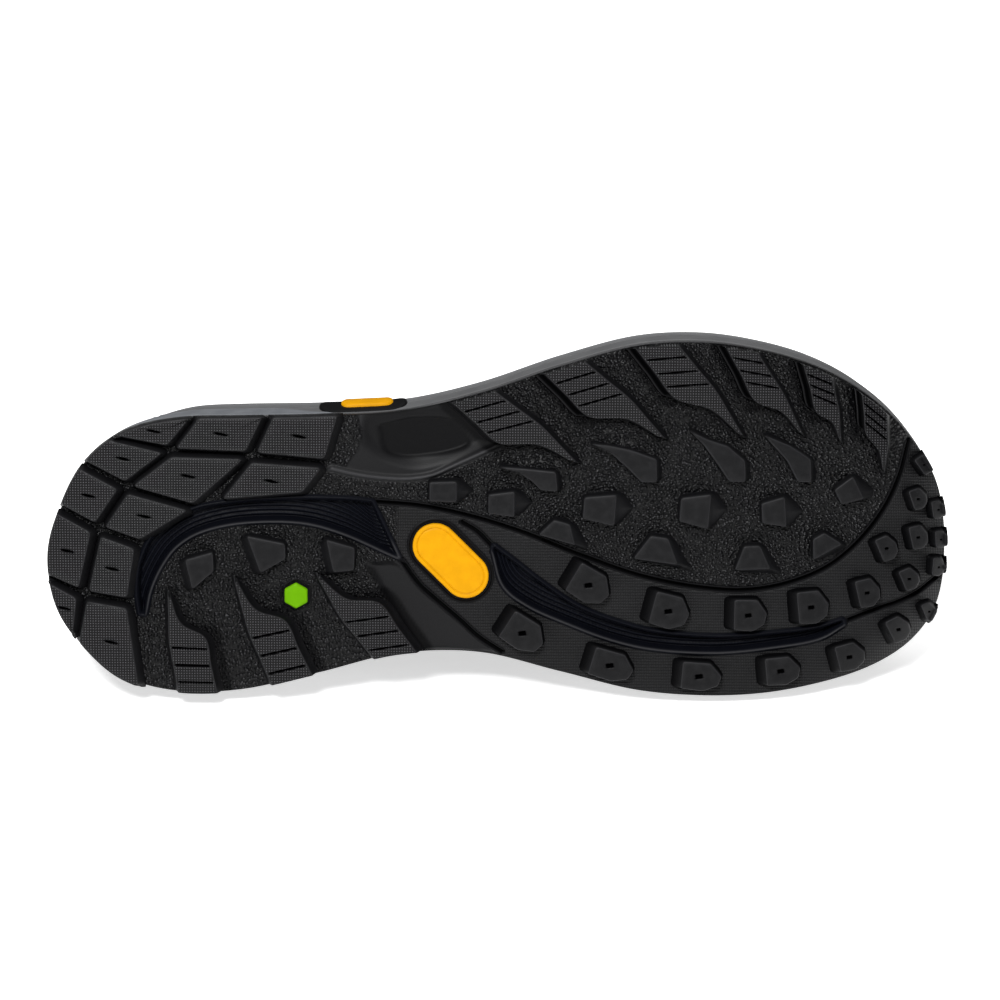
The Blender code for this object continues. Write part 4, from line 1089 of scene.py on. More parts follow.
def floor_relief(plan):
    """Depth of the floor's sculpting: hollows of the waist, its ridge, and seats under the strips."""
    hollow = soft_depth(plan, LATERAL_HOLLOW, LATERAL_HOLLOW_SOFT)
    deep = LATERAL_HOLLOW_DEPTH * step_at(hollow, *LATERAL_HOLLOW_STEP)
    deep += WAIST_PAD_DEPTH * step_at(depth_in(plan, waist_pad()), *WAIST_PAD_STEP)
    slope = soft_depth(plan, MEDIAL_HOLLOW, MEDIAL_HOLLOW_SOFT)
    flank, _ = nearest_on(plan, np.array(MEDIAL_FLANK), False)
    fall = 1.0 - (1.0 - MEDIAL_FLANK_LEAST) * ease(flank / MEDIAL_FLANK_REACH)
    deep += MEDIAL_HOLLOW_DEPTH * fall * step_at(slope, *MEDIAL_HOLLOW_STEP)
    ridge, _ = nearest_on(plan, route_through(WAIST_RIDGE, RIDGE_POINTS), False)
    deep -= RIDGE_HEIGHT * swell(ridge, RIDGE_HALF)
    for rungs in (HEEL_WINDOW, FORE_WINDOW):
        within = depth_in(plan, window_loop(rungs, RIDGE_POINTS))
        deep += (WINDOW_DEPTH + WINDOW_SEAT) * step_at(within, *WINDOW_SEAT_STEP)
    for corners in MOULD_LINES:
        away, _ = nearest_on(plan, route_through(corners, ROUTE_POINTS), False)
        deep += (LINE_DEPTH + LINE_SEAT) * step_at(-away, *LINE_SEAT_STEP)
    for corners, crest in zip(CRESCENTS, CREST_POINTS):
        away, _ = nearest_on(plan, np.array(corners[1:crest]), False)
        deep -= CREST_RISE * swell(away, CREST_HALF)
    deep += INLAY_SEAT * step_at(depth_in(plan, capsule_loop(0.0)), *INLAY_SEAT_STEP)
    return deep + PLUG_SEAT * step_at(depth_in(plan, plug_loop(0.0)), *PLUG_SEAT_STEP)


def floor_height(plan):
    """Height of the sheet's floor over the tread's plane."""
    return lift(plan) + LUG_HEIGHT + floor_relief(plan)


def floor_marks(plan):
    """Where the floor is pebbled, where it has the woven grain, where a painted highlight lies (crest) and
    where painted shade lies (shade).
    """
    along, across = plan[..., 0], plan[..., 1]
    lateral = step_at(lateral_of_fore_line(plan), *FORE_LINE_STEP) * ease((along - PEBBLE_FROM) / REGION_FADE)
    island = ease((ISLAND_TO - along) / REGION_FADE)
    grained = np.maximum(lateral, island)
    smooth = step_at(depth_in(plan, np.array(WAIST_SMOOTH)), *SMOOTH_STEP)
    slope = step_at(depth_in(plan, np.array(MEDIAL_HOLLOW)), *SLOPE_STEP)
    ridge, _ = nearest_on(plan, route_through(WAIST_RIDGE, RIDGE_POINTS), False)
    plain = (1.0 - smooth) * (1.0 - slope) * step_at(ridge, *RIDGE_CLEAR_STEP)
    for corners in MOULD_LINES:
        away, _ = nearest_on(plan, route_through(corners, ROUTE_POINTS), False)
        plain = plain * step_at(away, *LINE_CLEAR_STEP)
    inside = soft_depth(plan, LATERAL_HOLLOW, MARK_SOFT)
    # Painted highlight along the hollow's upper rim and the ridge's crest, in the crest mark
    (rim_at, rim_half), (rim_across, across_fade), (rim_along, along_fade) = (
        HOLLOW_RIM, HOLLOW_RIM_ACROSS, HOLLOW_RIM_ALONG)
    rim = swell(inside - rim_at, rim_half) * ease((across - rim_across) / across_fade)
    rim = rim * ease((rim_along - along) / along_fade)
    crest = np.maximum(RIDGE_HIGHLIGHT * swell(ridge, RIDGE_HIGHLIGHT_HALF), HOLLOW_RIM_HIGHLIGHT * rim)
    pad = depth_in(plan, waist_pad())
    shade = np.maximum(PAD_SHADE * step_at(pad, *PAD_SHADE_STEP),
                       HOLLOW_SHADE * step_at(inside, *HOLLOW_SHADE_STEP))
    for row in FANGS:
        flank, _ = fang_sides(row)
        knee = knee_row(row, flank)
        away, _ = nearest_on(plan, flank[knee::FLANK_STRIDE], False)
        shade = np.maximum(shade, swell(away, HOOK_SHADE))
        away, _ = nearest_on(plan, flank[:knee:FLANK_STRIDE], False)
        shade = np.maximum(shade, ease((LEDGE_SHADE - away) / LEDGE_SHADE_FADE))
    return {"pebble": grained * plain, "woven": (1.0 - grained) * plain, "crest": crest, "shade": shade}


FLOOR_GRID = (470, 188)
FLOOR_CROWDING = 0.35
FLOOR_END = 0.12
RIM_OUT = 0.35
# Rings of the sheet's rim and back: share of the outward step, height from the floor's edge
RIM_RINGS = ((1.0, 0.5), (1.0, SHEET_THICKNESS - 0.4), (0.0, SHEET_THICKNESS), (-12.0, BACK_SUNK))


def make_tread_floor():
    """Rubber sheet: a grid along the sole and across between its two edges, a rim wall and a back.

    The rows stand closer at both ends of the sole, by a sine."""
    rows, columns = FLOOR_GRID
    step = np.linspace(0.0, 1.0, rows)
    along = SOLE_LENGTH * (step - FLOOR_CROWDING * np.sin(TAU * step) / TAU)
    along = np.clip(along, FLOOR_END, SOLE_LENGTH - FLOOR_END)
    turn = turn_of(along)
    share = np.linspace(0.0, 1.0, columns)
    medial = side_edge(turn, "medial")[:, None]
    lateral = side_edge(turn, "lateral")[:, None]
    plan = np.stack(np.broadcast_arrays(along[:, None], medial + (lateral - medial) * share), axis=-1)
    floor = raised(plan, floor_height(plan)).reshape(-1, 3)
    ring = grid_rim(rows, columns)
    edge = floor[ring, :2]
    rim_height = lift(edge) + LUG_HEIGHT
    out = RIM_OUT * unit(edge - OUTLINE.mean(axis=0))
    rims = [raised(edge + grow * out, rim_height + rise) for grow, rise in RIM_RINGS]
    count = len(ring)
    chain = [ring] + [len(floor) + count * level + np.arange(count) for level in range(len(rims))]
    walls = [ring_quads(low, high) for low, high in zip(chain, chain[1:])]
    spots = np.concatenate([floor] + rims)
    bare = np.zeros(count * len(rims))
    marks = {name: np.concatenate([value.ravel(), bare]) for name, value in floor_marks(plan).items()}
    # Painted highlight along the sheet's lateral rim, carried by the lit mark
    from_along, full_along, fade_along, to_along = LIT_RIM
    lit = ease((edge[:, 0] - from_along) / (full_along - from_along))
    lit = lit * ease((to_along - edge[:, 0]) / (to_along - fade_along)) * (ring % columns == columns - 1)
    marks["lit"] = np.concatenate([np.zeros(len(floor)), lit, lit, np.zeros(count * (len(rims) - 2))])
    return make_piece("tread_floor", spots, [grid_faces(rows, columns)] + walls + [chain[-1][None, :]],
                      floor_finish(), replaces=("outsole",), uv=spots[:, :2] * MM, marks=marks)


WINDOW_GRID = (260, 64)
WINDOW_LOOP = 120
WINDOW_ENDS = 10
WINDOW_BEAD_AT = 0.7
WINDOW_RIM_STEP = (1.6, 0.3)
WINDOW_SINK_STEP = (0.1, 1.1)
WINDOW_BED_STEP = (-0.5, 0.5)
# Painted highlight line beside the rim's bead: place, half width, strength, and its fade across the window
WINDOW_HIGHLIGHT_AT = 0.5
WINDOW_HIGHLIGHT_HALF = 0.28
WINDOW_HIGHLIGHT_TONE = 0.9
WINDOW_HIGHLIGHT_FADE = (0.4, 0.2)
WINDOW_PROUD = 0.04
WINDOW_SKIRT = 0.45
SKIRT_DEPTH = 0.5


def make_windows():
    """Window beds: a strip between the two sides, with raised rims, sloped walls and long ribs.

    Its places across stand closer at the rims, by a cosine."""
    finish = window_finish()
    rows, columns = WINDOW_GRID
    for name, rungs in (("heel_window", HEEL_WINDOW), ("fore_window", FORE_WINDOW)):
        lateral, medial = window_sides(rungs, np.linspace(0.0, len(rungs) - 1.0, rows))
        across = lateral - medial
        width = np.linalg.norm(across, axis=1, keepdims=True)
        side = across / width
        ahead = unit(np.gradient(0.5 * (lateral + medial), axis=0))
        reach = np.zeros((rows, 1))
        reach[:WINDOW_ENDS, 0] = -WINDOW_LIP * np.linspace(1.0, 0.0, WINDOW_ENDS)
        reach[-WINDOW_ENDS:, 0] = WINDOW_LIP * np.linspace(0.0, 1.0, WINDOW_ENDS)
        swept = 0.5 - 0.5 * np.cos(math.pi * np.linspace(0.0, 1.0, columns))
        start = medial - WINDOW_LIP * side + reach * ahead
        whole = (width + 2.0 * WINDOW_LIP) * side
        plan = start[:, None, :] + swept[None, :, None] * whole[:, None, :]
        inside = depth_in(plan, window_loop(rungs, WINDOW_LOOP))
        bead = WINDOW_BEAD * swell(inside + WINDOW_BEAD_AT, WINDOW_BEAD_HALF)
        sink = WINDOW_DEPTH * step_at(inside, *WINDOW_SINK_STEP)
        height = lift(plan) + LUG_HEIGHT + sink - bead - WINDOW_PROUD
        height = height + SKIRT_DEPTH * (inside < WINDOW_SKIRT - WINDOW_LIP)
        fade_at, fade = WINDOW_HIGHLIGHT_FADE
        # Painted highlight along the bead, on the medial side only
        crest = WINDOW_HIGHLIGHT_TONE * swell(inside + WINDOW_HIGHLIGHT_AT, WINDOW_HIGHLIGHT_HALF)
        marks = {"bed": step_at(inside, *WINDOW_BED_STEP), "rim": step_at(inside, *WINDOW_RIM_STEP),
                 "crest": crest * ease((fade_at - swept) / fade)[None, :],
                 "span": ((plan - medial[:, None, :]) * side[:, None, :]).sum(-1) * MM}
        spots = raised(plan, height)
        make_piece(name, spots, [grid_faces(rows, columns)], finish, uv=plan * MM, marks=marks)


LINE_PLACES = 21
LINE_FLAT = 0.2
LINE_BEAD = 0.14
LINE_BEAD_AT = 0.95
LINE_BEAD_HALF = 0.22
LINE_PROUD = 0.03
LINE_MARGIN = 0.05


def make_mould_lines():
    """Thin mould lines: a narrow strip carried along each route, with a rounded groove."""
    finish = line_finish()
    offset = LINE_LIP * np.linspace(-1.0, 1.0, LINE_PLACES)
    gap = np.abs(offset)
    deep = ease(1.0 - (gap - LINE_FLAT) / LINE_HALF)
    sink = LINE_DEPTH * deep - LINE_BEAD * swell(gap - LINE_BEAD_AT, LINE_BEAD_HALF)
    sink = sink + SKIRT_DEPTH * (gap > LINE_LIP - LINE_MARGIN)
    for number, corners in enumerate(MOULD_LINES):
        route = route_through(corners, 40 + 3 * len(corners) ** 2)
        ahead = unit(np.gradient(route, axis=0))
        side = np.stack([-ahead[:, 1], ahead[:, 0]], axis=1)
        plan = held_inside(route[:, None, :] + offset[None, :, None] * side[:, None, :], LINE_MARGIN)
        height = lift(plan) + LUG_HEIGHT + sink[None, :] - LINE_PROUD
        spots = raised(plan, height)
        make_piece("mould_line_%d" % number, spots, [grid_faces(len(route), LINE_PLACES)], finish,
                   uv=plan * MM, marks={"deep": np.broadcast_to(deep, plan.shape[:2])})


# Lugs

LEAST_BLUR = 0.3


def even_loop(corners, count):
    """Points set evenly round a closed polygon, and the length round it."""
    closed = np.concatenate([corners, corners[:1]])
    run = run_along(closed)
    return read_along(run, closed, np.linspace(0.0, run[-1], count, endpoint=False)), run[-1]


def rounded_loop(corners, radius, count, margin):
    """Loop of even points round a polygon, kept inside the sole and softened by a circular blur."""
    loop, _ = even_loop(counter_clockwise(corners), count)
    loop, around = even_loop(held_inside(loop, margin), count)
    spread = max(radius * count / around, LEAST_BLUR)
    reach = np.minimum(np.arange(count), count - np.arange(count))
    kernel = np.exp(-0.5 * (reach / spread) ** 2)
    kernel = np.fft.fft(kernel / kernel.sum())[:, None]
    return np.fft.ifft(np.fft.fft(loop, axis=0) * kernel, axis=0).real


def loop_normals(loop):
    """Outward unit normals of a counter-clockwise loop of even points."""
    run = np.roll(loop, -1, axis=0) - np.roll(loop, 1, axis=0)
    return unit(np.stack([run[:, 1], -run[:, 0]], axis=1))


# Rings of a lug's foot: share of the draft and ramp, reach past them, height over the floor
LUG_FOOT_RINGS = ((1.0, 0.45, -0.6), (1.0, 0.25, 0.05), (1.0, 0.0, 0.4), (0.62, 0.0, 1.6))
# Rings of its bevel: place out from the loop, drop from the top
LUG_BEVEL_RINGS = ((0.14, 0.7), (0.05, 0.28), (-0.1, 0.08), (-0.28, 0.0))
# Rings of its top and of its hole: share of the way, and for the hole the drop from the top
LUG_TOP_SHARES = (0.3, 0.55, 0.75, 0.9)
LUG_HOLE_RINGS = ((1.0, 0.1), (0.9, 0.5), (0.72, 1.5))


def lug_rings(loop, hole, centre, ramp, margin, draft):
    """Rings of one lug from under the floor, up the drafted wall, over the bevel and into the hole.

    The foot stands out by the draft, and by a ramp (reach, direction, pointedness) on one side."""
    normal = loop_normals(loop)
    reach, (ahead, aside), point = ramp
    way = np.array([ahead, aside])
    away = np.abs((loop - centre) @ np.array([-aside, ahead]))
    facing = np.sqrt(np.clip(normal @ way, 0.0, None)) * (1.0 - point * away / away.max())
    ramp_foot = reach * facing[:, None] * way
    rings = [(held_inside(loop + (grow * draft + extra) * normal + grow * ramp_foot, margin), height)
             for grow, extra, height in LUG_FOOT_RINGS]
    rings += [(loop + out * normal, LUG_HEIGHT - drop) for out, drop in LUG_BEVEL_RINGS]
    inner = rings[-1][0]
    rings += [(inner + share * (hole - inner), LUG_HEIGHT) for share in LUG_TOP_SHARES]
    rings += [(centre + share * (hole - centre), LUG_HEIGHT - drop) for share, drop in LUG_HOLE_RINGS]
    plan = np.array([ring for ring, _ in rings])
    height = np.array([level for _, level in rings])
    return plan, np.broadcast_to(height[:, None], plan.shape[:2])


def hole_round(loop, centre, radii, turn, lobes):
    """Edge of a slit or a squared pinhole: an ellipse read at the angles of the loop's points."""
    away = loop - centre
    angle = np.arctan2(away[:, 1], away[:, 0]) - math.radians(turn)
    square = 1.0 - HOLE_SQUARE * lobes * np.cos(4.0 * angle)
    oval = np.stack([radii[0] * square * np.cos(angle), radii[1] * square * np.sin(angle)], axis=1)
    return shape_at(oval, *centre, turn)


NO_RAMP = (0.0, (1.0, 0.0), 0.0)
PLAIN_DRAFT = 0.5
PLAIN_MARGIN = 0.12
PLAIN_TOP = 0.1
HOLE_SQUARE = 0.14
LUG_TOP_RING = 7
# Painted highlight (edge) and painted shade (deep) marks, one for each ring
LUG_HIGHLIGHT = (0.0, 0.0, 0.0, 0.0, 0.35, 1.0, 1.0, 0.15, 0.0, 0.0, 0.0, 0.0, 0.0, 0.0, 0.0)
LUG_DEEP_SHADE = (0.8, 0.7, 0.3, 0.0, 0.0, 0.0, 0.0, 0.0, 0.0, 0.0, 0.0, 0.0, 0.6, 1.0, 1.0)
STUD_DEEP_SHADE = (1.0, 0.9, 0.7, 0.6, 0.2, 0.0, 0.0, 0.0, 0.0, 0.0, 0.0, 0.0, 0.6, 1.0, 1.0)


def make_lugs(name, loops, finish, holes=None, turn=0.0, lobes=0.0, ramps=None, margin=PLAIN_MARGIN,
              draft=PLAIN_DRAFT, dark=LUG_DEEP_SHADE):
    """A set of lugs joined into one piece, each with the two radii of its hole or with a plain top."""
    spots = []
    quads = []
    caps = []
    marks = {"top": [], "edge": [], "deep": []}
    count = 0
    for number, loop in enumerate(loops):
        centre = loop.mean(axis=0)
        hole = centre + PLAIN_TOP * (loop - centre)
        if holes:
            hole = hole_round(loop, centre, holes[number], turn, lobes)
        plan, level = lug_rings(loop, hole, centre, ramps[number] if ramps else NO_RAMP, margin, draft)
        rings, size = plan.shape[:2]
        place = np.arange(rings)
        if not holes:
            level = np.where(place[:, None] < rings - len(LUG_HOLE_RINGS), level, LUG_HEIGHT)
        height = lift(plan) + LUG_HEIGHT - level
        spots.append(raised(plan, height).reshape(-1, 3))
        marks["top"].append(np.repeat((place >= LUG_TOP_RING).astype(float), size))
        # The edge mark paints a highlight on the bevels; the deep mark paints shade on the foot and in the
        # hole
        marks["edge"].append(np.repeat(LUG_HIGHLIGHT, size))
        marks["deep"].append(np.repeat(dark, size) if holes else np.zeros(rings * size))
        quads.append(grid_faces(rings, size, round_columns=True, first=count))
        caps.append(count + end_caps(rings, size))
        count += rings * size
    spots = np.concatenate(spots)
    marks = {mark: np.concatenate(values) for mark, values in marks.items()}
    return make_piece(name, spots, [np.concatenate(quads), np.concatenate(caps)], finish,
                      uv=spots[:, :2] * MM, marks=marks)


def shape_at(shape, along, across, turn):
    """A small plan shape turned and set down on the sole."""
    angle = math.radians(turn)
    shape = np.asarray(shape, dtype=float)
    x = shape[:, 0] * math.cos(angle) - shape[:, 1] * math.sin(angle)
    y = shape[:, 0] * math.sin(angle) + shape[:, 1] * math.cos(angle)
    return np.stack([x + along, y + across], axis=1)


SHARP_LIMIT = 1.4


def drawn_in(corners, amount):
    """A polygon with every side moved in by the amount, less at sharp corners."""
    corners = counter_clockwise(corners)
    middle = np.zeros_like(corners)
    for run in (corners - np.roll(corners, 1, axis=0), np.roll(corners, -1, axis=0) - corners):
        middle += unit(np.stack([run[:, 1], -run[:, 0]], axis=1))
    square = np.maximum((middle * middle).sum(axis=1, keepdims=True), SHARP_LIMIT)
    return corners - 2.0 * amount * middle / square


BLOCK_ROUND = 0.65
BLOCK_POINTS = 96
BLOCK_FOOT_OUT = 0.3
LUG_ROUND = 0.4
WEDGE_POINTS = 64
STUD_POINTS = 72
STUD_FOOT_OUT = 0.2
FRONT_TURN = -50.0


def make_heel_blocks():
    """Heel blocks: polygons between the grooves' crossings, each with a slit."""
    places = {name: (along, across) for name, along, across in HEEL_CROSSINGS}
    loops = []
    for names in HEEL_BLOCKS:
        corners = drawn_in(np.array([places[name] for name in names]), GROOVE_HALF)
        loops.append(rounded_loop(corners, BLOCK_ROUND, BLOCK_POINTS, BLOCK_MARGIN))
    finish = lug_finish("heel_block_rubber", True)
    return make_lugs("heel_blocks", loops, finish, [BLOCK_SLIT] * len(loops), BLOCK_SLIT_TURN,
                     ramps=[BLOCK_RAMP] * len(loops), margin=BLOCK_MARGIN - BLOCK_FOOT_OUT, draft=LUG_DRAFT)


def make_wedges(finish):
    """Wedge lugs: trapezoids with a ramp in front or on one side."""
    loops = []
    ramps = []
    for along, across, length, heel, toe, turn, ramp in WEDGES:
        half = 0.5 * length
        shape = ((-half, -0.5 * heel), (half, -0.5 * toe), (half, 0.5 * toe), (-half, 0.5 * heel))
        corners = shape_at(shape, along, across, turn)
        loops.append(rounded_loop(corners, LUG_ROUND, WEDGE_POINTS, EDGE_MARGIN))
        ramps.append((ramp, *(FRONT_RAMP if turn > FRONT_TURN else SIDE_RAMP)))
    for corners in ISLAND_WEDGES:
        loops.append(rounded_loop(corners, LUG_ROUND, WEDGE_POINTS, EDGE_MARGIN))
        ramps.append(ISLAND_RAMP)
    return make_lugs("wedge_lugs", loops, finish, ramps=ramps)


def make_crescents(finish):
    """Crescent lugs with a plain top."""
    loops = [rounded_loop(corners, LUG_ROUND, STUD_POINTS, EDGE_MARGIN) for corners in CRESCENTS]
    return make_lugs("crescent_lugs", loops, finish, ramps=[CRESCENT_RAMP] * len(loops))


def make_studs(name, rows, margin, finish):
    """Studs: one shape scaled and turned, with a ramp behind and a pinhole that follows its size."""
    loops = []
    ramps = []
    holes = []
    for along, across, length, width, turn in rows:
        shape = [(length * x, width * y) for x, y in STUD_SHAPE]
        corners = shape_at(shape, along, across, turn)
        loops.append(rounded_loop(corners, LUG_ROUND, STUD_POINTS, margin))
        angle = math.radians(turn)
        back = (-math.cos(angle), -math.sin(angle))
        size = min(1.0, length / STUD_FULL)
        ramps.append((STUD_RAMP * min(1.0, length / STUD_RAMP_FULL), back, 0.0))
        holes.append((STUD_HOLE[0] * size, STUD_HOLE[1] * size))
    return make_lugs(name, loops, finish, holes, STUD_HOLE_TURN, 1.0, ramps, margin - STUD_FOOT_OUT,
                     dark=STUD_DEEP_SHADE)


def fang_sides(row):
    """The two long sides of a hooked lug from its root on the sole's edge to its tip."""
    side, root_from, root_to, tip_x, tip_y, knee_x, knee_y = row
    first, last = (np.array([place, side_edge(turn_of(place), side)]) for place in (root_from, root_to))
    tip = np.array([tip_x, tip_y])
    knee = np.array([knee_x, knee_y])
    if side == "medial":
        first, last = last, first
    back = 0.5 * (last + tip)
    back = back + FANG_BACK_BOW * (back - knee)
    middle = 0.5 * (knee + tip)
    hook = middle + FANG_HOOK_BOW * (back - middle)
    blunt = tip + FANG_BLUNT * (knee - tip)
    chord = last - first
    inward = np.array([-chord[1], chord[0]])
    inward = inward * np.sign(inward @ (tip - first))
    sides = []
    for corners in ((first, 0.5 * (first + knee), knee, hook, blunt),
                    (last, 0.5 * (last + back), back, 0.5 * (back + tip), tip)):
        route = route_through(corners, 4 * FANG_ROWS)
        depth = np.maximum.accumulate((route - route[0]) @ inward)
        sides.append(read_along(depth, route, np.linspace(0.0, depth[-1], FANG_ROWS)))
    return sides


def knee_row(row, flank):
    """Number of the flank's point that lies nearest to the knee of a hooked lug."""
    return int(np.linalg.norm(flank - np.array(row[-2:]), axis=1).argmin())


def make_fangs():
    """Hooked lugs: strips from root to tip with drafted walls, a bevel and cross slits.

    The lateral ones have a low ledge along the flank from the root to the knee, painted dark as shade
    with a painted shine on its crest; bevels carry a painted highlight and the slits painted shade."""
    spots = []
    quads = []
    marks = {"top": [], "edge": [], "deep": []}
    count = 0
    wall = len(FANG_WALL)
    share = np.linspace(0.0, 1.0, FANG_ROWS)
    for number, row in enumerate(FANGS):
        flank, rear = fang_sides(row)
        width = np.linalg.norm(rear - flank, axis=1)
        side = unit(rear - flank)
        has_ledge = row[0] == "lateral" and 0 < number <= FANG_LEDGES
        ledge = has_ledge * ease((knee_row(row, flank) + LEDGE_PAST - np.arange(FANG_ROWS)) / LEDGE_FADE)
        columns = []
        levels = []
        for (out, level), (ledge_out, ledge_level) in zip(FANG_WALL, FANG_LEDGE):
            reach = np.minimum(out, FANG_WIDE * width) if out > 0.0 else out + ledge * (ledge_out - out)
            columns.append(flank + reach[:, None] * side)
            levels.append(level + ledge * (ledge_level - level))
        trim = np.minimum(FANG_BEVEL, FANG_WIDE * width)
        for part in np.linspace(0.0, 1.0, FANG_COLUMNS_INSIDE + 2)[1:-1]:
            columns.append(flank + (trim + part * (width - 2.0 * trim))[:, None] * side)
            levels.append(np.full(FANG_ROWS, LUG_HEIGHT))
        for out, level in FANG_WALL[::-1]:
            reach = np.minimum(out, FANG_WIDE * width) if out > 0.0 else np.full(FANG_ROWS, FANG_REAR * out)
            columns.append(rear - reach[:, None] * side)
            levels.append(np.full(FANG_ROWS, level))
        plan = held_inside(np.stack(columns, axis=1), FANG_MARGIN)
        level = np.stack(levels, axis=1)
        places = plan.shape[1]
        place = np.arange(places)
        length = run_along(0.5 * (flank + rear))[-1]
        slits = sum(ease(FANG_SLIT_SOFT - length * np.abs(share - at) / FANG_SLIT_HALF)
                    for at in FANG_SLITS[row[0]])
        cuts = slits[:, None] * ((place >= wall) & (place < places - wall))[None, :]
        level = level - FANG_SLIT_DEPTH * cuts
        tail = FANG_TAIL_SHARE + (1.0 - FANG_TAIL_SHARE) * ease((1.0 - share) / FANG_TAIL)[:, None]
        level = np.where(level > FANG_TAIL_LOW, FANG_TAIL_LOW + (level - FANG_TAIL_LOW) * tail, level)
        tip = plan[-1:].mean(axis=1, keepdims=True)
        plan = np.concatenate([plan[:1], plan[:1], plan, tip + FANG_TIP_GROW * (plan[-1:] - tip)])
        ends = [np.minimum(level[:1], drop) for drop in FANG_END_DROPS]
        level = np.concatenate(ends + [level, np.full_like(level[-1:], FANG_FOOT)])
        height = lift(plan) + LUG_HEIGHT - level
        rows = len(plan)
        spots.append(raised(plan, height).reshape(-1, 3))
        top = ((place >= wall - 1) & (place <= places - wall)).astype(float)
        # Painted highlight on the bevels, painted shine on the ledge's crest, painted shade in the slits and
        # on the ledge
        edge = np.zeros((rows, places))
        edge[:, [wall - 3, wall - 2, places - wall + 1, places - wall + 2]] = 1.0
        edge[2:-1, LEDGE_CREST] = LEDGE_SHINE * ledge
        deep = np.zeros((rows, places))
        deep[2:-1] = cuts
        deep[2:-1, :len(LEDGE_DEEP_SHADE)] = ledge[:, None] * np.array(LEDGE_DEEP_SHADE)
        for mark, values in (("top", np.broadcast_to(top, (rows, places))), ("edge", edge), ("deep", deep)):
            marks[mark].append(values.ravel())
        quads.append(grid_faces(rows, places, first=count))
        count += rows * places
    spots = np.concatenate(spots)
    marks = {mark: np.concatenate(values) for mark, values in marks.items()}
    return make_piece("fang_lugs", spots, [np.concatenate(quads)], lug_finish("fang_rubber", True),
                      uv=spots[:, :2] * MM, marks=marks)


# Inlay, plug and side tab

def capsule_loop(growth):
    """Edge of the waist inlay, grown by a length: two half circles joined by straight sides."""
    radius = max(0.5 * INLAY_WIDTH + growth, INLAY_LEAST)
    reach = 0.5 * (INLAY_LENGTH - INLAY_WIDTH)
    angles = np.linspace(-0.5 * math.pi, 0.5 * math.pi, CAPSULE_STEPS)
    end = np.stack([reach + radius * np.cos(angles), radius * np.sin(angles)], axis=1)
    return shape_at(np.concatenate([end, -end]), *INLAY_CENTRE, INLAY_TURN)


PLUG_POINTS = 60
PLUG_CORNER = 0.885
PLATE_CREASE = 35.0


def plug_loop(growth):
    """Hexagon with softened corners."""
    angles = TAU * np.arange(PLUG_POINTS) / PLUG_POINTS
    flat = np.cos(np.mod(angles, math.pi / 3.0) - math.pi / 6.0)
    radius = (PLUG_RADIUS * math.cos(math.pi / 6.0) + growth) / np.maximum(flat, PLUG_CORNER)
    shape = np.stack([radius * np.cos(angles), radius * np.sin(angles)], axis=1)
    return shape_at(shape, *PLUG_CENTRE, PLUG_TURN)


def make_plate(name, loop_of, profile, finish, nodes=()):
    """A set-in plate: loops of one outline at the growths and heights of a profile."""
    loops = [loop_of(growth) for growth, _ in profile]
    rings = [raised(loop, lift(loop) + LUG_HEIGHT - rise)
             for loop, (_, rise) in zip(loops, profile)]
    size = len(loops[0])
    faces = [grid_faces(len(rings), size, round_columns=True), end_caps(len(rings), size)]
    return make_piece(name, np.concatenate(rings), faces, finish, replaces=nodes, crease=PLATE_CREASE)


# Profiles of the set-in plates and their seats: growth of the outline, rise over the floor
INLAY_PROFILE = ((0.0, -1.8), (0.0, 0.35), (-0.15, 0.62), (-0.4, 0.78), (-0.6, 0.8), (-1.2, 0.8),
                 (-1.35, 0.7), (-1.45, 0.5), (-1.6, 0.42), (-1.75, 0.5), (-1.9, 0.62), (-2.3, 0.66),
                 (-5.0, 0.7), (-7.0, 0.71))
PLUG_PROFILE = ((0.0, -1.8), (0.0, 0.3), (-0.2, 0.6), (-0.6, 0.78), (-2.4, 0.84))
PLUG_SEAT_PROFILE = ((1.7, -0.5), (1.5, 0.04), (1.3, 0.14), (1.05, 0.1), (0.85, -1.0), (0.3, -1.5),
                     (-1.0, -1.5))
SEAT_PROFILE = ((2.1, -0.5), (1.9, 0.06), (1.6, 0.24), (1.25, 0.24), (1.0, 0.0), (0.8, -1.0), (0.3, -1.5),
                (-1.0, -1.5))


HEEL_TAPER = 5.4
HEEL_TAPER_ALONG = 20.0
HEEL_TAPER_REACH = 22.0
HEEL_TUCK = 1.2
HEEL_TUCK_REACH = 14.0
BOTTOM_INSET = 5.0
BOTTOM_SUNK = 4.5
TOE_TAPER = 3.0
TOE_TAPER_ALONG = 294.0
TOE_TAPER_REACH = 13.0


def wall_point(angle, rise, out):
    """Point of the midsole's side wall: its profile carried round the sole's edge."""
    bulge = curve_through(column(WALL_PROFILE, WALL_COLUMNS, "rise"),
                          column(WALL_PROFILE, WALL_COLUMNS, "outward"), rise)
    edge = sole_edge(angle)
    taper = HEEL_TAPER * rise * swell(edge[..., 0] - HEEL_TAPER_ALONG, HEEL_TAPER_REACH)
    taper = taper + TOE_TAPER * rise * swell(edge[..., 0] - TOE_TAPER_ALONG, TOE_TAPER_REACH)
    tuck = HEEL_TUCK * ease(1.0 - edge[..., 0] / HEEL_TUCK_REACH)
    plan = edge + (bulge + out - taper - tuck)[..., None] * edge_normal(angle)
    low = lift(edge) + LUG_HEIGHT + SHEET_THICKNESS + FIT_GAP
    height = low + rise * (deck_height(plan[..., 0]) - low)
    return raised(plan, height)


WALL_HEIGHT = 25.0
PATCH_POINTS = 96
# Rings of a patch on the wall: share of its outline, share of its stand
PATCH_RINGS = ((1.0, -0.6), (1.0, 0.55), (0.97, 0.85), (0.9, 1.0), (0.6, 1.0), (0.25, 1.0))


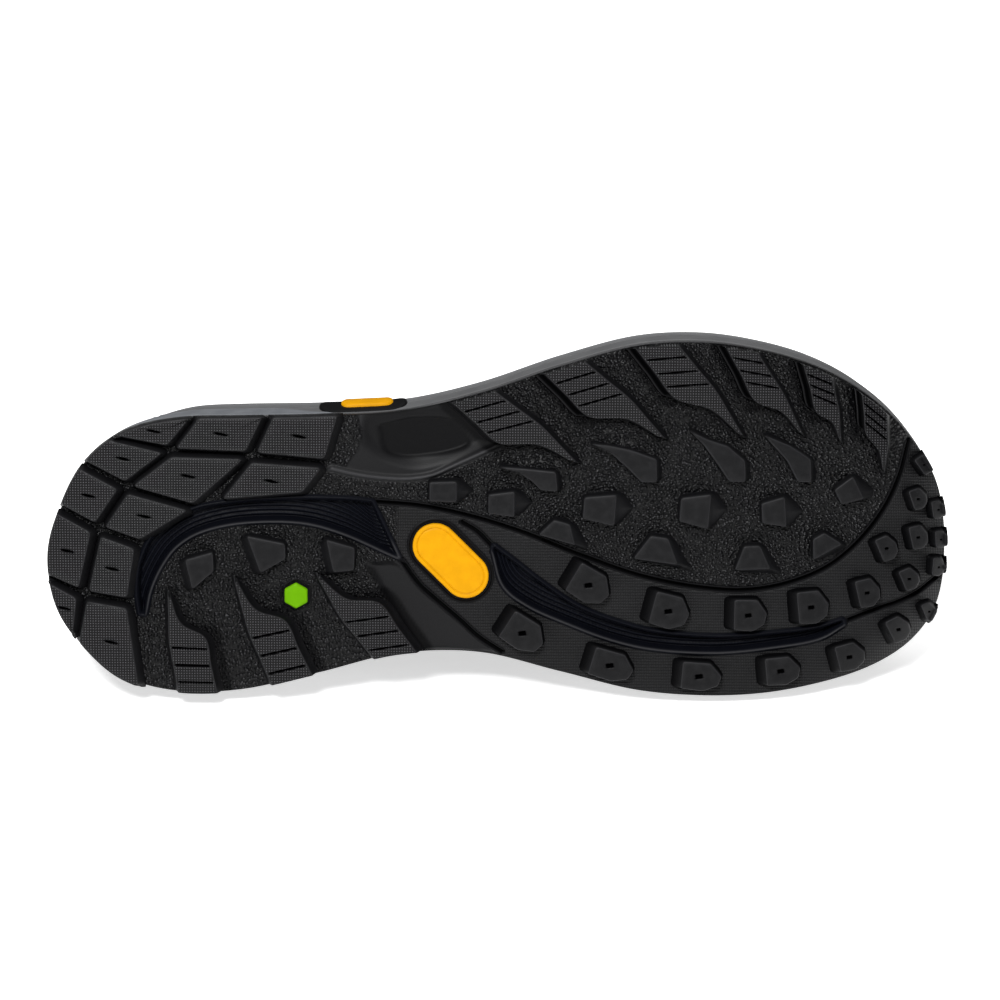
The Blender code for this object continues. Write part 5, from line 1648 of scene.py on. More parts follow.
def wall_patch(name, along, length, rise, height, out, slant, finish, replaces=()):
    """A capsule that follows the lateral wall, domed at its rim and turned to the tread."""
    angles = TAU * np.arange(PATCH_POINTS) / PATCH_POINTS
    radius, stand = np.array(PATCH_RINGS).T[:, :, None]
    half = 0.5 * height
    x = np.sign(np.cos(angles)) * (0.5 * length - half) + half * np.cos(angles)
    y = half * np.sin(angles)
    tilt = slant * (stand > 0.0) * np.sin(angles) * radius
    spots = wall_point(turn_of(along + x * radius), rise + y * radius / WALL_HEIGHT, out * stand + tilt)
    rings = len(PATCH_RINGS)
    faces = [grid_faces(rings, PATCH_POINTS, round_columns=True), end_caps(rings, PATCH_POINTS)]
    return make_piece(name, spots, faces, finish, replaces)


AMBER = (0.39, 0.178, 0.0008)
LIME = (0.07, 0.196, 0.0003)
PLATE_BLACK = (0.0026, 0.0026, 0.0029)


def make_small_pieces():
    """Inlay and plug with their seats in the sole, and the tab on its plate on the lateral wall."""
    amber = smooth_rubber_finish("amber_rubber", AMBER, 0.45, 0.05)
    lime = smooth_rubber_finish("lime_rubber", LIME, 0.45, 0.04)
    plate = smooth_rubber_finish("tab_plate_rubber", PLATE_BLACK, 0.45, 0.06)
    seat = smooth_rubber_finish("seat_rubber", RUBBER_BLACK, 0.5, 0.06)
    make_plate("waist_inlay", capsule_loop, INLAY_PROFILE, amber, ("sole_inlay",))
    make_plate("inlay_seat", capsule_loop, SEAT_PROFILE, seat)
    make_plate("green_plug", plug_loop, PLUG_PROFILE, lime, ("heel_plug",))
    make_plate("plug_seat", plug_loop, PLUG_SEAT_PROFILE, seat)
    wall_patch("tab_plate", PLATE_ALONG, PLATE_LENGTH, TAB_RISE, PLATE_WIDTH, PLATE_OUT, PLATE_SLANT, plate)
    wall_patch("yellow_tab", TAB_ALONG, TAB_LENGTH, TAB_RISE, TAB_WIDTH, TAB_OUT, TAB_SLANT, amber,
               ("side_tab",))


# Midsole

def midsole_finish():
    """Dark grey foam with a pale blue-grey band on the lateral heel, grooves painted dark as shade and
    a rim painted paler as a highlight.
    """
    made = Finish("midsole_foam", (0.10, 0.102, 0.106), 0.58)
    space = made.space()
    band = made.mark("band")
    grain = made.noise(space, 0.7, 3.0)
    made.relief(grain, 0.06)
    grey = made.mixed(made.scaled(made.noise(space, 9.0, 3.0), 0.35, 0.7, 0.0, 1.0),
                      (0.054, 0.055, 0.057), (0.066, 0.067, 0.069))
    pale = made.mixed(made.scaled(made.noise(space, 6.0, 3.0), 0.35, 0.7, 0.0, 1.0),
                      (0.078, 0.083, 0.092), (0.104, 0.11, 0.119))
    # The rim mark is a painted highlight on the wall's rounded rim
    foam = made.mixed(band, made.mixed(made.mark("rim"), grey, (0.105, 0.107, 0.111)), pale)
    # The groove mark is painted shade in the gap at the wall's foot and in its side groove
    made.colour(made.mixed(made.mark("groove"), foam, (0.012, 0.012, 0.013)))
    return made.material


WALL_AROUND = 900
WALL_ROWS = np.concatenate([[0.0], np.linspace(0.0, 0.82, 50), np.linspace(0.84, 1.0, 14)])
# Steps along the sole or up the wall: minus the place where each starts, or where it ends, and its width
RIB_FROM = (-150.0, 30.0)
RIB_BELT = ((-0.5, 0.04), (0.66, 0.04))
BAND_FROM = (-12.0, 26.0)
BAND_TO = (98.0, 34.0)
# The foot step marks painted shade in the gap at the wall's foot
FOOT_GAP_SHADE = (0.035, 0.02)
# Belt of the wall's rim where the painted highlight lies
RIM_BELT = ((-0.67, 0.03), (0.86, 0.04))
RIB_HEIGHT = 0.28
RIB_PITCH = 2.4
BAND_LOW = 0.06
BAND_RISE = 0.36
BAND_EDGE = 0.015
BAND_LEAST = 0.02
SIDE_GROOVE_AT = 0.45
SIDE_GROOVE_HALF = 0.022
SIDE_GROOVE_SHADE = 0.8
RIM_HIGHLIGHT_TONE = 0.7


def make_midsole():
    """Foam wall: its profile carried round the edge, with fine upright ribs at the forefoot."""
    angles = np.linspace(0.0, TAU, WALL_AROUND, endpoint=False)
    angle, rise = np.meshgrid(angles, WALL_ROWS)
    edge = sole_edge(angles)
    along = edge[:, 0]
    run = run_along(edge)
    belt = step_at(rise, *RIB_BELT[0]) * step_at(-rise, *RIB_BELT[1])
    out = RIB_HEIGHT * belt * step_at(along, *RIB_FROM) * np.cos(TAU * run / RIB_PITCH)
    out[0] -= BOTTOM_INSET
    spots = wall_point(angle, rise, out)
    spots[0, :, 2] += BOTTOM_SUNK
    band_run = step_at(along, *BAND_FROM) * step_at(-along, *BAND_TO) * (angles < math.pi)
    band = ease((BAND_LOW + BAND_RISE * band_run - rise) / BAND_EDGE) * (band_run > BAND_LEAST)
    # Painted shade at the wall's foot and in the side groove
    side_groove = swell(rise - SIDE_GROOVE_AT, SIDE_GROOVE_HALF)
    groove = step_at(-rise, *FOOT_GAP_SHADE) + SIDE_GROOVE_SHADE * side_groove
    # Painted highlight on the wall's rounded rim
    rim = RIM_HIGHLIGHT_TONE * step_at(rise, *RIM_BELT[0]) * step_at(-rise, *RIM_BELT[1])
    rows = len(WALL_ROWS)
    faces = [grid_faces(rows, WALL_AROUND, round_columns=True), end_caps(rows, WALL_AROUND)]
    uv = np.stack([np.broadcast_to(run, rise.shape), rise * WALL_HEIGHT], axis=-1) * MM
    return make_piece("midsole_foam", spots, faces, midsole_finish(), replaces=("midsole",), uv=uv,
                      marks={"band": band, "groove": groove, "rim": rim})


# Upper: one row for each station of the foot, the same on both sides

UPPER_COLUMNS = ("foot", "inset", "top_along", "top_half", "top_height",
                 "low_out", "low_up", "high_out", "high_down")
UPPER_SECTIONS = (
    (0.0, 9.5, 13.0, 0.0, 107.0, 7.0, 24.0, 5.0, 18.0),
    (4.0, 9.5, 14.4, 10.5, 106.8, 7.0, 24.0, 4.5, 18.0),
    (14.0, 9.5, 20.5, 21.5, 104.0, 6.0, 24.0, 4.0, 18.0),
    (32.0, 9.5, 36.0, 31.0, 95.5, 5.0, 23.0, 3.0, 17.0),
    (58.0, 9.5, 60.0, 35.5, 88.5, 4.0, 22.0, 1.0, 17.0),
    (88.0, 9.0, 86.0, 33.0, 93.0, 3.0, 22.0, 4.0, 18.0),
    (118.0, 8.5, 107.0, 26.0, 104.0, 3.0, 22.0, 11.0, 20.0),
    (148.0, 8.0, 127.0, 21.5, 100.0, 3.0, 22.0, 19.0, 17.0),
    (178.0, 8.0, 147.0, 18.5, 91.5, 3.0, 22.0, 25.0, 12.0),
    (208.0, 8.0, 166.0, 16.5, 84.0, 3.0, 22.0, 28.0, 8.0),
    (238.0, 8.0, 181.0, 14.0, 79.0, 3.0, 22.0, 30.0, 6.0),
    (265.0, 8.0, 190.0, 10.5, 76.0, 3.0, 21.0, 33.0, 5.0),
    (285.0, 8.0, 195.0, 6.0, 74.6, 3.0, 20.0, 38.0, 4.5),
    (298.0, 8.5, 196.6, 2.0, 74.1, 3.0, 20.0, 44.0, 4.5),
    (302.0, 8.5, 197.0, 0.0, 74.0, 3.0, 20.0, 46.0, 4.5),
)
UPPER_AROUND = 520
UPPER_HEIGHT = 88.0
WALL_THICKNESS = 2.2
COLLAR_PAD = 3.6
COLLAR_END = 112.0
COLLAR_FADE = 30.0
COLLAR_PAD_LEVEL = 0.62
COLLAR_SEAM_LEVEL = 0.7
EDGE_ROUND = 0.7
OVERLAY_STEP = 0.8
OVERLAY_EDGE = 0.024
RAND_LEVEL = 0.085
TOE_CAP_LEVEL = 0.3
COUNTER_LEVEL = 0.57
EYESTAY_FROM = 112.0
EYESTAY_LEVEL = 0.87
# Creases of the vamp (along, bow, depth) and of the quarters (foot, slant, depth)
VAMP_CREASES = ((213.0, 9.0, 0.8), (226.0, 13.0, 1.1), (239.0, 16.0, 0.8))
QUARTER_CREASES = ((96.0, 46.0, 0.7), (110.0, 60.0, 0.6), (126.0, 52.0, 0.45))
CREASE_HALF = 2.2
FOLD_SHARE = 0.45
FOLD_AWAY = 1.9
FOOT_HALF = 45.0
# Levels where the creases show: minus the start of one step and the end of the other, with their widths
VAMP_LEVELS = ((-0.32, 0.15), (0.86, 0.08))
QUARTER_LEVELS = ((-0.3, 0.2), (0.85, 0.2))
COUNTER_END = 54.0
TOE_CAP_FROM = 226.0
OVERLAY_CLIMB = 30.0
EYESTAY_FADE = 4.0
SEAM_HALF = 0.008
SEAM_DEPTH = 0.6
PAD_FULLNESS = 0.8
NORMAL_STEP = 0.01
OUTER_ROWS = 130
INNER_ROWS = 24
LIP_ROWS = 9
LIP_LINED = 3

INSOLE_CLEAR = 3.4
TONGUE_FROM = 292.0
TONGUE_TO = 122.0
TONGUE_LEVEL = 0.8
TONGUE_DEPTH = 0.7
TONGUE_THICKNESS = 3.6
TONGUE_CROWN = 1.2
TONGUE_FREE_BACK = 20.0
TONGUE_FREE_UP = 17.0
TONGUE_FREE_NARROW = 0.26
TONGUE_ROUND = 0.72
TONGUE_ROUND_FROM = 0.45
EYELET_STATIONS = (126.0, 146.0, 168.0, 192.0, 216.0, 240.0)
EYELET_LEVEL = 0.93
LACE_HALF_WIDTH = 1.9
LACE_HALF_THICK = 0.95
LACE_CROWN = 1.5
LACE_EDGE_SHARE = 0.2
STITCH_PITCH = 3.2
STITCH_HALF = 1.1
STITCH_RADIUS = 0.28


def upper_value(angle, name):
    """A column of the upper's table at a place round the foot."""
    angle = np.mod(angle, TAU)
    turn = np.where(angle <= math.pi, angle, TAU - angle)
    stations = turn_of(column(UPPER_SECTIONS, UPPER_COLUMNS, "foot"))
    return curve_through(stations, column(UPPER_SECTIONS, UPPER_COLUMNS, name), turn)


def middle_line(along):
    """Middle of the sole across, at places along it."""
    turn = turn_of(along)
    return 0.5 * (side_edge(turn, "lateral") + side_edge(turn, "medial"))


def upper_outer(angle, level):
    """Outer face of the upper: for each place round the foot a cubic Bezier arc from the deck to
    the collar or the throat."""
    out = edge_normal(angle)
    foot = sole_edge(angle) - upper_value(angle, "inset")[..., None] * out
    foot_height = deck_height(foot[..., 0]) + FIT_GAP
    side = np.where(np.mod(angle, TAU) <= math.pi, 1.0, -1.0)
    top_along = upper_value(angle, "top_along")
    top_across = middle_line(top_along) + side * upper_value(angle, "top_half")
    top = np.stack([top_along, top_across], axis=-1)
    top_height = upper_value(angle, "top_height")
    away = unit(foot - top)
    low = foot + upper_value(angle, "low_out")[..., None] * out
    high = top + upper_value(angle, "high_out")[..., None] * away
    low_height = foot_height + upper_value(angle, "low_up")
    high_height = top_height - upper_value(angle, "high_down")
    corners = [raised(plan, height) for plan, height in
               ((foot, foot_height), (low, low_height), (high, high_height), (top, top_height))]
    v = np.asarray(level, dtype=float)[..., None]
    weights = ((1.0 - v) ** 3, 3.0 * v * (1.0 - v) ** 2, 3.0 * v ** 2 * (1.0 - v), v ** 3)
    return sum(weight * corner for weight, corner in zip(weights, corners))


def upper_normal(angle, level):
    """Outward unit normal of the upper's outer face, from small steps each way."""
    ahead = upper_outer(angle + NORMAL_STEP, level) - upper_outer(angle - NORMAL_STEP, level)
    rise = upper_outer(angle, np.minimum(level + NORMAL_STEP, 1.0))
    rise = rise - upper_outer(angle, np.maximum(level - NORMAL_STEP, 0.0))
    return unit(np.cross(rise, ahead))


def foot_station(angle):
    """Place along the sole where a column of the upper stands."""
    angle = np.mod(angle, TAU)
    return along_of(np.where(angle <= math.pi, angle, TAU - angle))


def rand_top(foot):
    """Level of the overlay's upper edge: a low rand that climbs to the heel counter and the toe cap."""
    heel = (COUNTER_LEVEL - RAND_LEVEL) * (1.0 - ease((foot - COUNTER_END) / OVERLAY_CLIMB))
    toe = (TOE_CAP_LEVEL - RAND_LEVEL) * ease((foot - TOE_CAP_FROM) / OVERLAY_CLIMB)
    return RAND_LEVEL + heel + toe


def overlay_share(angle, level):
    """1 on the rand, the toe cap, the heel counter and the eyestay, with eased edges."""
    foot = foot_station(angle)
    slope = UPPER_HEIGHT * (rand_top(foot + 0.5) - rand_top(foot - 0.5))
    rand = ease((rand_top(foot) - level) / (OVERLAY_EDGE * np.sqrt(1.0 + slope ** 2)))
    eyestay = ease((level - EYESTAY_LEVEL) / OVERLAY_EDGE) * ease((foot - EYESTAY_FROM) / EYESTAY_FADE)
    return np.maximum(rand, eyestay)


def collar_share(angle):
    """1 round the collar, fading out towards the throat."""
    return np.clip((COLLAR_END - foot_station(angle)) / COLLAR_FADE, 0.0, 1.0)


def crease_line(gap):
    """A groove with a soft fold on each side: exp(-g^2) less a share of exp(-(|g| - a)^2)."""
    return swell(gap, 1.0) - FOLD_SHARE * swell(np.abs(gap) - FOLD_AWAY, 1.0)


def crease_depth(angle, level, spots):
    """Flex creases over the vamp and slanted ones in the quarters."""
    along = spots[..., 0]
    away = (spots[..., 1] - middle_line(along)) / FOOT_HALF
    vamp = sum(depth * crease_line((along - place + bow * away ** 2) / CREASE_HALF)
               for place, bow, depth in VAMP_CREASES)
    foot = foot_station(angle)
    quarter = sum(depth * crease_line((foot - place - slant * (level - 0.5)) / CREASE_HALF)
                  for place, slant, depth in QUARTER_CREASES)
    for lines, (start, end) in ((vamp, VAMP_LEVELS), (quarter, QUARTER_LEVELS)):
        lines *= step_at(level, *start) * step_at(-level, *end)
    return vamp + quarter


def upper_skin(angle, level):
    """Outer face with its overlays, creases and collar seam."""
    spots = upper_outer(angle, level)
    relief = OVERLAY_STEP * overlay_share(angle, level) - crease_depth(angle, level, spots)
    seam = swell(level - COLLAR_SEAM_LEVEL, SEAM_HALF) * collar_share(angle)
    return spots + (relief - SEAM_DEPTH * seam)[..., None] * upper_normal(angle, level)


def upper_lining(angle, level, extra):
    """Inner face: the wall's thickness and the collar's padding under the outer face."""
    climb = np.clip((level - COLLAR_PAD_LEVEL) / (1.0 - COLLAR_PAD_LEVEL), 0.0, 1.0)
    pad = COLLAR_PAD * collar_share(angle) * np.sin(math.pi * climb ** PAD_FULLNESS)
    depth = WALL_THICKNESS + pad + extra
    return upper_outer(angle, level) - depth[..., None] * upper_normal(angle, level)


def even_angles(count):
    """Places round the foot that stand evenly along the upper's lower edge."""
    fine = np.linspace(0.0, TAU, 4 * count + 1)
    spots = upper_outer(fine, np.zeros_like(fine))
    run = np.concatenate([[0.0], np.cumsum(np.linalg.norm(np.diff(spots, axis=0), axis=1))])
    return np.interp(np.linspace(0.0, run[-1], count, endpoint=False), run, fine), run[-1]


def upper_finish():
    """Charcoal mesh with an open knit, smooth overlays and a soft lining."""
    made = Finish("upper_fabric", CLOTH, 0.82, 0.25)
    plan = made.plan()
    overlay = made.mark("overlay")
    lining = made.mark("lining")
    knit = made.grains(plan, 1.7, "F1", 0.12)
    threads = made.sum("MULTIPLY", made.waves(plan, 0, 0.6), made.waves(plan, 1, 0.6))
    bare = made.sum("SUBTRACT", 1.0, overlay)
    made.relief(made.sum("MULTIPLY", made.scaled(knit, 0.1, 0.55, 0.0, 1.0), bare), 0.32)
    made.relief(made.sum("MULTIPLY", threads, bare), 0.06)
    made.relief(made.noise(plan, 0.6, 2.0), 0.04)
    holes = made.sum("MULTIPLY", made.scaled(knit, 0.22, 0.4, 1.0, 0.0), bare)
    cloth = made.mixed(holes, CLOTH_PALE, CLOTH_DARK)
    film = made.mixed(made.scaled(made.noise(plan, 14.0, 3.0), 0.35, 0.7, 0.0, 1.0), FILM, FILM_PALE)
    outer = made.mixed(overlay, cloth, film)
    made.colour(made.mixed(lining, outer, made.mixed(made.noise(plan, 3.0, 3.0), LINING, LINING_PALE)))
    made.roughness(made.scaled(overlay, 0.0, 1.0, 0.85, 0.6))
    return made.material


def fabric_finish(name, colour, pitch, depth):
    """Plain woven cloth: crossed threads with a faint change of tone."""
    made = Finish(name, colour, 0.88, 0.2)
    space = made.space()
    weave = made.sum("MULTIPLY", made.waves(space, 0, pitch), made.waves(space, 1, pitch))
    made.relief(weave, depth)
    made.relief(made.noise(space, 0.5, 2.0), 0.05)
    pale = tuple(1.6 * part for part in colour)
    made.colour(made.mixed(made.scaled(made.noise(space, 5.0, 3.0), 0.35, 0.7, 0.0, 1.0), colour, pale))
    return made.material


CLOTH = (0.014, 0.0145, 0.016)
CLOTH_PALE = (0.024, 0.025, 0.028)
CLOTH_DARK = (0.005, 0.005, 0.006)
FILM = (0.010, 0.010, 0.011)
FILM_PALE = (0.016, 0.016, 0.0175)
LINING = (0.030, 0.031, 0.034)
LINING_PALE = (0.045, 0.046, 0.05)


def make_upper():
    """Hollow shell: outer face up, a rounded lip, inner face down, joined under the foot."""
    angles, run = even_angles(UPPER_AROUND)
    outer_levels = np.linspace(0.0, 1.0, OUTER_ROWS)
    inner_levels = np.linspace(1.0, 0.0, INNER_ROWS)
    angle_grid, level_grid = np.meshgrid(angles, outer_levels)
    outer = upper_skin(angle_grid, level_grid)
    marks_outer = overlay_share(angle_grid, level_grid)
    angle_in, level_in = np.meshgrid(angles, inner_levels)
    inner = upper_lining(angle_in, level_in, 0.0)
    for ring in (outer[0], inner[-1]):
        ring[:, 2] = deck_height(ring[:, 0]) + FIT_GAP
    middle = 0.5 * (outer[-1] + inner[0])
    half = 0.5 * (outer[-1] - inner[0])
    rise = unit(outer[-1] - outer[-3])
    bends = np.linspace(0.0, math.pi, LIP_ROWS)[1:-1]
    lip = np.array([middle + math.cos(bend) * half + EDGE_ROUND * math.sin(bend) * rise for bend in bends])
    spots = np.concatenate([outer, lip, inner])
    rows = len(spots)
    lining = np.zeros((rows, UPPER_AROUND))
    lining[OUTER_ROWS + LIP_LINED:] = 1.0
    overlay = np.zeros((rows, UPPER_AROUND))
    overlay[:OUTER_ROWS] = marks_outer
    overlay[OUTER_ROWS:OUTER_ROWS + LIP_LINED] = marks_outer[-1]
    height = np.concatenate([outer_levels, np.ones(len(lip)), inner_levels]) * UPPER_HEIGHT
    around = run * np.arange(UPPER_AROUND) / UPPER_AROUND
    uv = np.stack(np.broadcast_arrays(around[None, :], height[:, None]), axis=-1) * MM
    return make_piece("upper_shell", spots, [grid_faces(rows, UPPER_AROUND, True, True)], upper_finish(),
                      ("upper",), uv=uv, marks={"overlay": overlay, "lining": lining})


SPINE_FROM = 44.0
SPINE_TO = 262.0
# Rings of the insole: share of the way from the spine to the rim, height over the deck
INSOLE_RINGS = ((0.0, 0.0), (1.0, 0.0), (1.0, 3.4), (0.99, 3.9), (0.96, 4.0), (0.9, 3.7), (0.8, 3.4),
                (0.65, 3.3), (0.5, 3.3), (0.35, 3.3), (0.2, 3.3), (0.0, 3.3))
INSOLE_GREY = (0.05, 0.052, 0.057)


def make_insole():
    """Loose liner: rings drawn from its rim in to a spine, with a raised edge."""
    angles, _ = even_angles(UPPER_AROUND // 2)
    inset = upper_value(angles, "inset") + INSOLE_CLEAR
    rim = sole_edge(angles) - inset[:, None] * edge_normal(angles)
    spine_along = np.clip(rim[:, 0], SPINE_FROM, SPINE_TO)
    spine = np.stack([spine_along, middle_line(spine_along)], axis=1)
    rings = []
    for share, height in INSOLE_RINGS:
        plan = spine + share * (rim - spine)
        level = deck_height(plan[:, 0]) + FIT_GAP + height
        rings.append(raised(plan, level))
    finish = fabric_finish("insole_cloth", INSOLE_GREY, 1.1, 0.12)
    faces = [grid_faces(len(rings), len(angles), round_columns=True)]
    return make_piece("insole_liner", np.array(rings), faces, finish, ("insole",))


def tongue_sheet(depth):
    """Sheet under the eyestay, over the instep and under the other eyestay, with its free end behind."""
    stations = np.linspace(TONGUE_FROM, TONGUE_TO, 70)
    levels = np.linspace(TONGUE_LEVEL, 1.0, 12)
    turn_grid, level_grid = np.meshgrid(turn_of(stations), levels, indexing="ij")
    extra = np.full(level_grid.shape, TONGUE_DEPTH + depth)
    lateral = upper_lining(turn_grid, level_grid, extra)
    medial = upper_lining(-turn_grid, level_grid, extra)[:, ::-1]
    share = np.linspace(0.0, 1.0, 19)[1:-1][None, :, None]
    middle = (1.0 - share) * lateral[:, -1:] + share * medial[:, :1]
    middle[..., 2] += TONGUE_CROWN * np.sin(math.pi * share[..., 0])
    sheet = np.concatenate([lateral, middle, medial], axis=1)
    last = sheet[-1]
    centre = last[:, 1].mean()
    free = np.linspace(0.0, 1.0, 24)[1:, None]
    along = last[None, :, 0] - TONGUE_FREE_BACK * free
    late = np.clip((free - TONGUE_ROUND_FROM) / (1.0 - TONGUE_ROUND_FROM), 0.0, 1.0)
    rounded = np.sqrt(1.0 - TONGUE_ROUND * late ** 2)
    across = centre + (last[None, :, 1] - centre) * (1.0 - TONGUE_FREE_NARROW * free) * rounded
    height = last[None, :, 2] + TONGUE_FREE_UP * free
    return np.concatenate([sheet, np.stack([along, across, height], axis=-1)])


QUILT_DEPTH = 0.28
TONGUE_GREY = (0.018, 0.0185, 0.02)


def make_tongue():
    """Padded tongue: two sheets that meet in a rounded rim, with soft quilting between seams."""
    top = tongue_sheet(0.0)
    under = tongue_sheet(TONGUE_THICKNESS)
    rows, columns = top.shape[:2]
    down = np.linspace(-1.0, 1.0, rows)[:, None]
    side = np.linspace(-1.0, 1.0, columns)[None, :]
    full = np.sqrt(np.clip((1.0 - down ** 16) * (1.0 - side ** 8), 0.0, 1.0))
    quilt = 1.0 - QUILT_DEPTH * (swell(np.abs(side) - 0.45, 0.04) + swell(down - 0.55, 0.012))
    middle = 0.5 * (top + under)
    half = 0.5 * (top - under) * (full * quilt)[..., None]
    spots = np.concatenate([(middle + half).reshape(-1, 3), (middle - half).reshape(-1, 3)])
    faces = grid_faces(rows, columns)
    size = rows * columns
    ring = grid_rim(rows, columns)
    finish = fabric_finish("tongue_cloth", TONGUE_GREY, 0.9, 0.12)
    tongue = make_piece("padded_tongue", spots, [faces, faces + size, ring_quads(ring, ring + size)], finish,
                        ("tongue",))


def on_upper(station, sign, level, height):
    """A point over the upper's outer face."""
    angle = np.array([sign * float(turn_of(station))])
    level = np.array([level])
    return (upper_outer(angle, level) + height * upper_normal(angle, level))[0]


def lace_path(first_sign):
    """One run of the lace: out of an eyelet, over the eyestay, across the throat, into the next eyelet."""
    stations = EYELET_STATIONS[::-1]
    signs = [first_sign * (-1.0) ** number for number in range(len(stations))]
    sunk = OVERLAY_STEP - 0.3
    over = OVERLAY_STEP + LACE_HALF_THICK + 0.9
    path = [on_upper(stations[0], signs[0], EYELET_LEVEL, sunk)]
    for number in range(len(stations) - 1):
        start, end = stations[number:number + 2]
        near, far = signs[number:number + 2]
        step = end - start
        crown = LACE_CROWN + 0.9 * first_sign * (-1.0) ** number
        leave = on_upper(start + LACE_EDGE_SHARE * step, near, 1.0, over)
        arrive = on_upper(end - LACE_EDGE_SHARE * step, far, 1.0, over)
        path.append(on_upper(start + 0.07 * step, near, EYELET_LEVEL + 0.022, over))
        path.append(leave)
        for share in (0.25, 0.5, 0.75):
            spot = (1.0 - share) * leave + share * arrive
            spot[2] += crown * math.sin(math.pi * share)
            path.append(spot)
        path.append(arrive)
        path.append(on_upper(end - 0.07 * step, far, EYELET_LEVEL + 0.022, over))
        path.append(on_upper(end, far, EYELET_LEVEL, sunk))
    return np.array(path)


def tube_spots(path, half_width, half_thick, sides):
    """Oval tube carried along a path, flat side up."""
    ahead = unit(np.gradient(path, axis=0))
    level = unit(np.cross(ahead, np.array([0.0, 0.0, 1.0])))
    up = np.cross(level, ahead)
    angles = TAU * np.arange(sides) / sides
    ring = half_width * np.cos(angles)[None, :, None] * level[:, None, :]
    return path[:, None, :] + ring + half_thick * np.sin(angles)[None, :, None] * up[:, None, :]


BRAID_TURN = 40.0
BRAID_PITCH = 0.8
LACE_GREYS = ((0.012, 0.012, 0.0135), (0.034, 0.034, 0.037))
LACE_SIDES = 20
LACE_POINTS = 420
LACE_WRAP = 8.0


def lace_finish():
    """Flat cord with a slanted braid."""
    made = Finish("lace_cord", (0.02, 0.02, 0.022), 0.8, 0.25)
    plan = made.plan()
    strands = [made.waves(made.turned(plan, angle), 0, BRAID_PITCH) for angle in (BRAID_TURN, -BRAID_TURN)]
    braid = made.sum("MULTIPLY", *strands)
    made.relief(braid, 0.2)
    made.colour(made.mixed(made.scaled(braid, -0.6, 0.8, 0.0, 1.0), *LACE_GREYS))
    return made.material


def make_lace():
    """The two crossed runs of the lace."""
    finish = lace_finish()
    wrap = LACE_WRAP * np.arange(LACE_SIDES) / LACE_SIDES
    faces = [grid_faces(LACE_POINTS, LACE_SIDES, round_columns=True), end_caps(LACE_POINTS, LACE_SIDES)]
    for name, sign in (("lace_run_a", 1.0), ("lace_run_b", -1.0)):
        path = route_through(lace_path(sign), LACE_POINTS)
        spots = tube_spots(path, LACE_HALF_WIDTH, LACE_HALF_THICK, LACE_SIDES)
        uv = np.stack(np.broadcast_arrays(run_along(path)[:, None], wrap[None, :]), axis=-1) * MM
        make_piece(name, spots, faces, finish, ("lace",), uv=uv)


def make_eyelets():
    """Punched rings: a small profile turned about the upper's normal at each eyelet."""
    finish = smooth_rubber_finish("eyelet_ring", (0.02, 0.02, 0.022), 0.35)
    profile = ((3.2, -0.2), (3.15, 0.45), (2.9, 0.62), (2.5, 0.6), (2.25, 0.4), (2.15, 0.12), (0.1, 0.1))
    sides = 28
    angles = TAU * np.arange(sides) / sides
    spots = []
    faces = []
    caps = []
    for station in EYELET_STATIONS:
        for sign in (1.0, -1.0):
            angle = np.array([sign * float(turn_of(station))])
            level = np.array([EYELET_LEVEL])
            normal = upper_normal(angle, level)[0]
            centre = upper_outer(angle, level)[0] + OVERLAY_STEP * normal
            side = unit(np.cross(normal, np.array([0.0, 0.0, 1.0])))
            other = np.cross(normal, side)
            first = len(spots) * len(profile) * sides
            round_way = np.cos(angles)[:, None] * side + np.sin(angles)[:, None] * other
            spots.append([centre + radius * round_way + height * normal for radius, height in profile])
            faces.append(grid_faces(len(profile), sides, round_columns=True, first=first))
            caps.append(first + end_caps(len(profile), sides))
    faces = [np.concatenate(faces), np.concatenate(caps)]
    make_piece("eyelet_rings", np.array(spots), faces, finish)


def make_stitches():
    """Rows of thread: small capsules set evenly along seam lines on the upper."""
    finish = fabric_finish("stitch_thread", (0.028, 0.028, 0.03), 0.5, 0.1)
    start = float(turn_of(EYESTAY_FROM + 3.0))
    collar = float(turn_of(COLLAR_END - 6.0))
    whole = np.linspace(0.0, TAU, 1200)
    throat = np.linspace(start, TAU - start, 900)
    back = np.linspace(-collar, collar, 700)
    seams = ((whole, rand_top(foot_station(whole)) - 0.028),
             (throat, np.full(len(throat), EYESTAY_LEVEL + 0.03)),
             (throat, np.full(len(throat), 0.982)),
             (back, np.full(len(back), COLLAR_SEAM_LEVEL + 0.02)))
    template_x = np.array([-1.0, -0.8, 0.0, 0.8, 1.0]) * STITCH_HALF
    template_r = np.array([0.35, 0.9, 1.0, 0.9, 0.35]) * STITCH_RADIUS
    sides = 6
    angles = TAU * np.arange(sides) / sides
    spots = []
    for angle, level in seams:
        line = upper_skin(angle, level) + 0.12 * upper_normal(angle, level)
        run = run_along(line)
        places = np.arange(0.5 * STITCH_PITCH, run[-1], STITCH_PITCH)
        centre = read_along(run, line, places)
        ahead = unit(read_along(run, np.gradient(line, run, axis=0), places))
        normal = upper_normal(np.interp(places, run, angle), np.interp(places, run, level))
        side = np.cross(normal, ahead)
        round_way = (np.cos(angles)[None, :, None] * side[:, None, :]
                     + np.sin(angles)[None, :, None] * normal[:, None, :])
        spots.append(centre[:, None, None, :] + template_x[None, :, None, None] * ahead[:, None, None, :]
                     + template_r[None, :, None, None] * round_way[:, None, :, :])
    spots = np.concatenate(spots)
    size = len(template_x) * sides
    first = size * np.arange(len(spots))[:, None, None]
    quads = (grid_faces(len(template_x), sides, round_columns=True)[None] + first).reshape(-1, 4)
    ends = (end_caps(len(template_x), sides)[None] + first).reshape(-1, sides)
    make_piece("upper_stitches", spots, [quads, ends], finish)


# Camera, light and floor

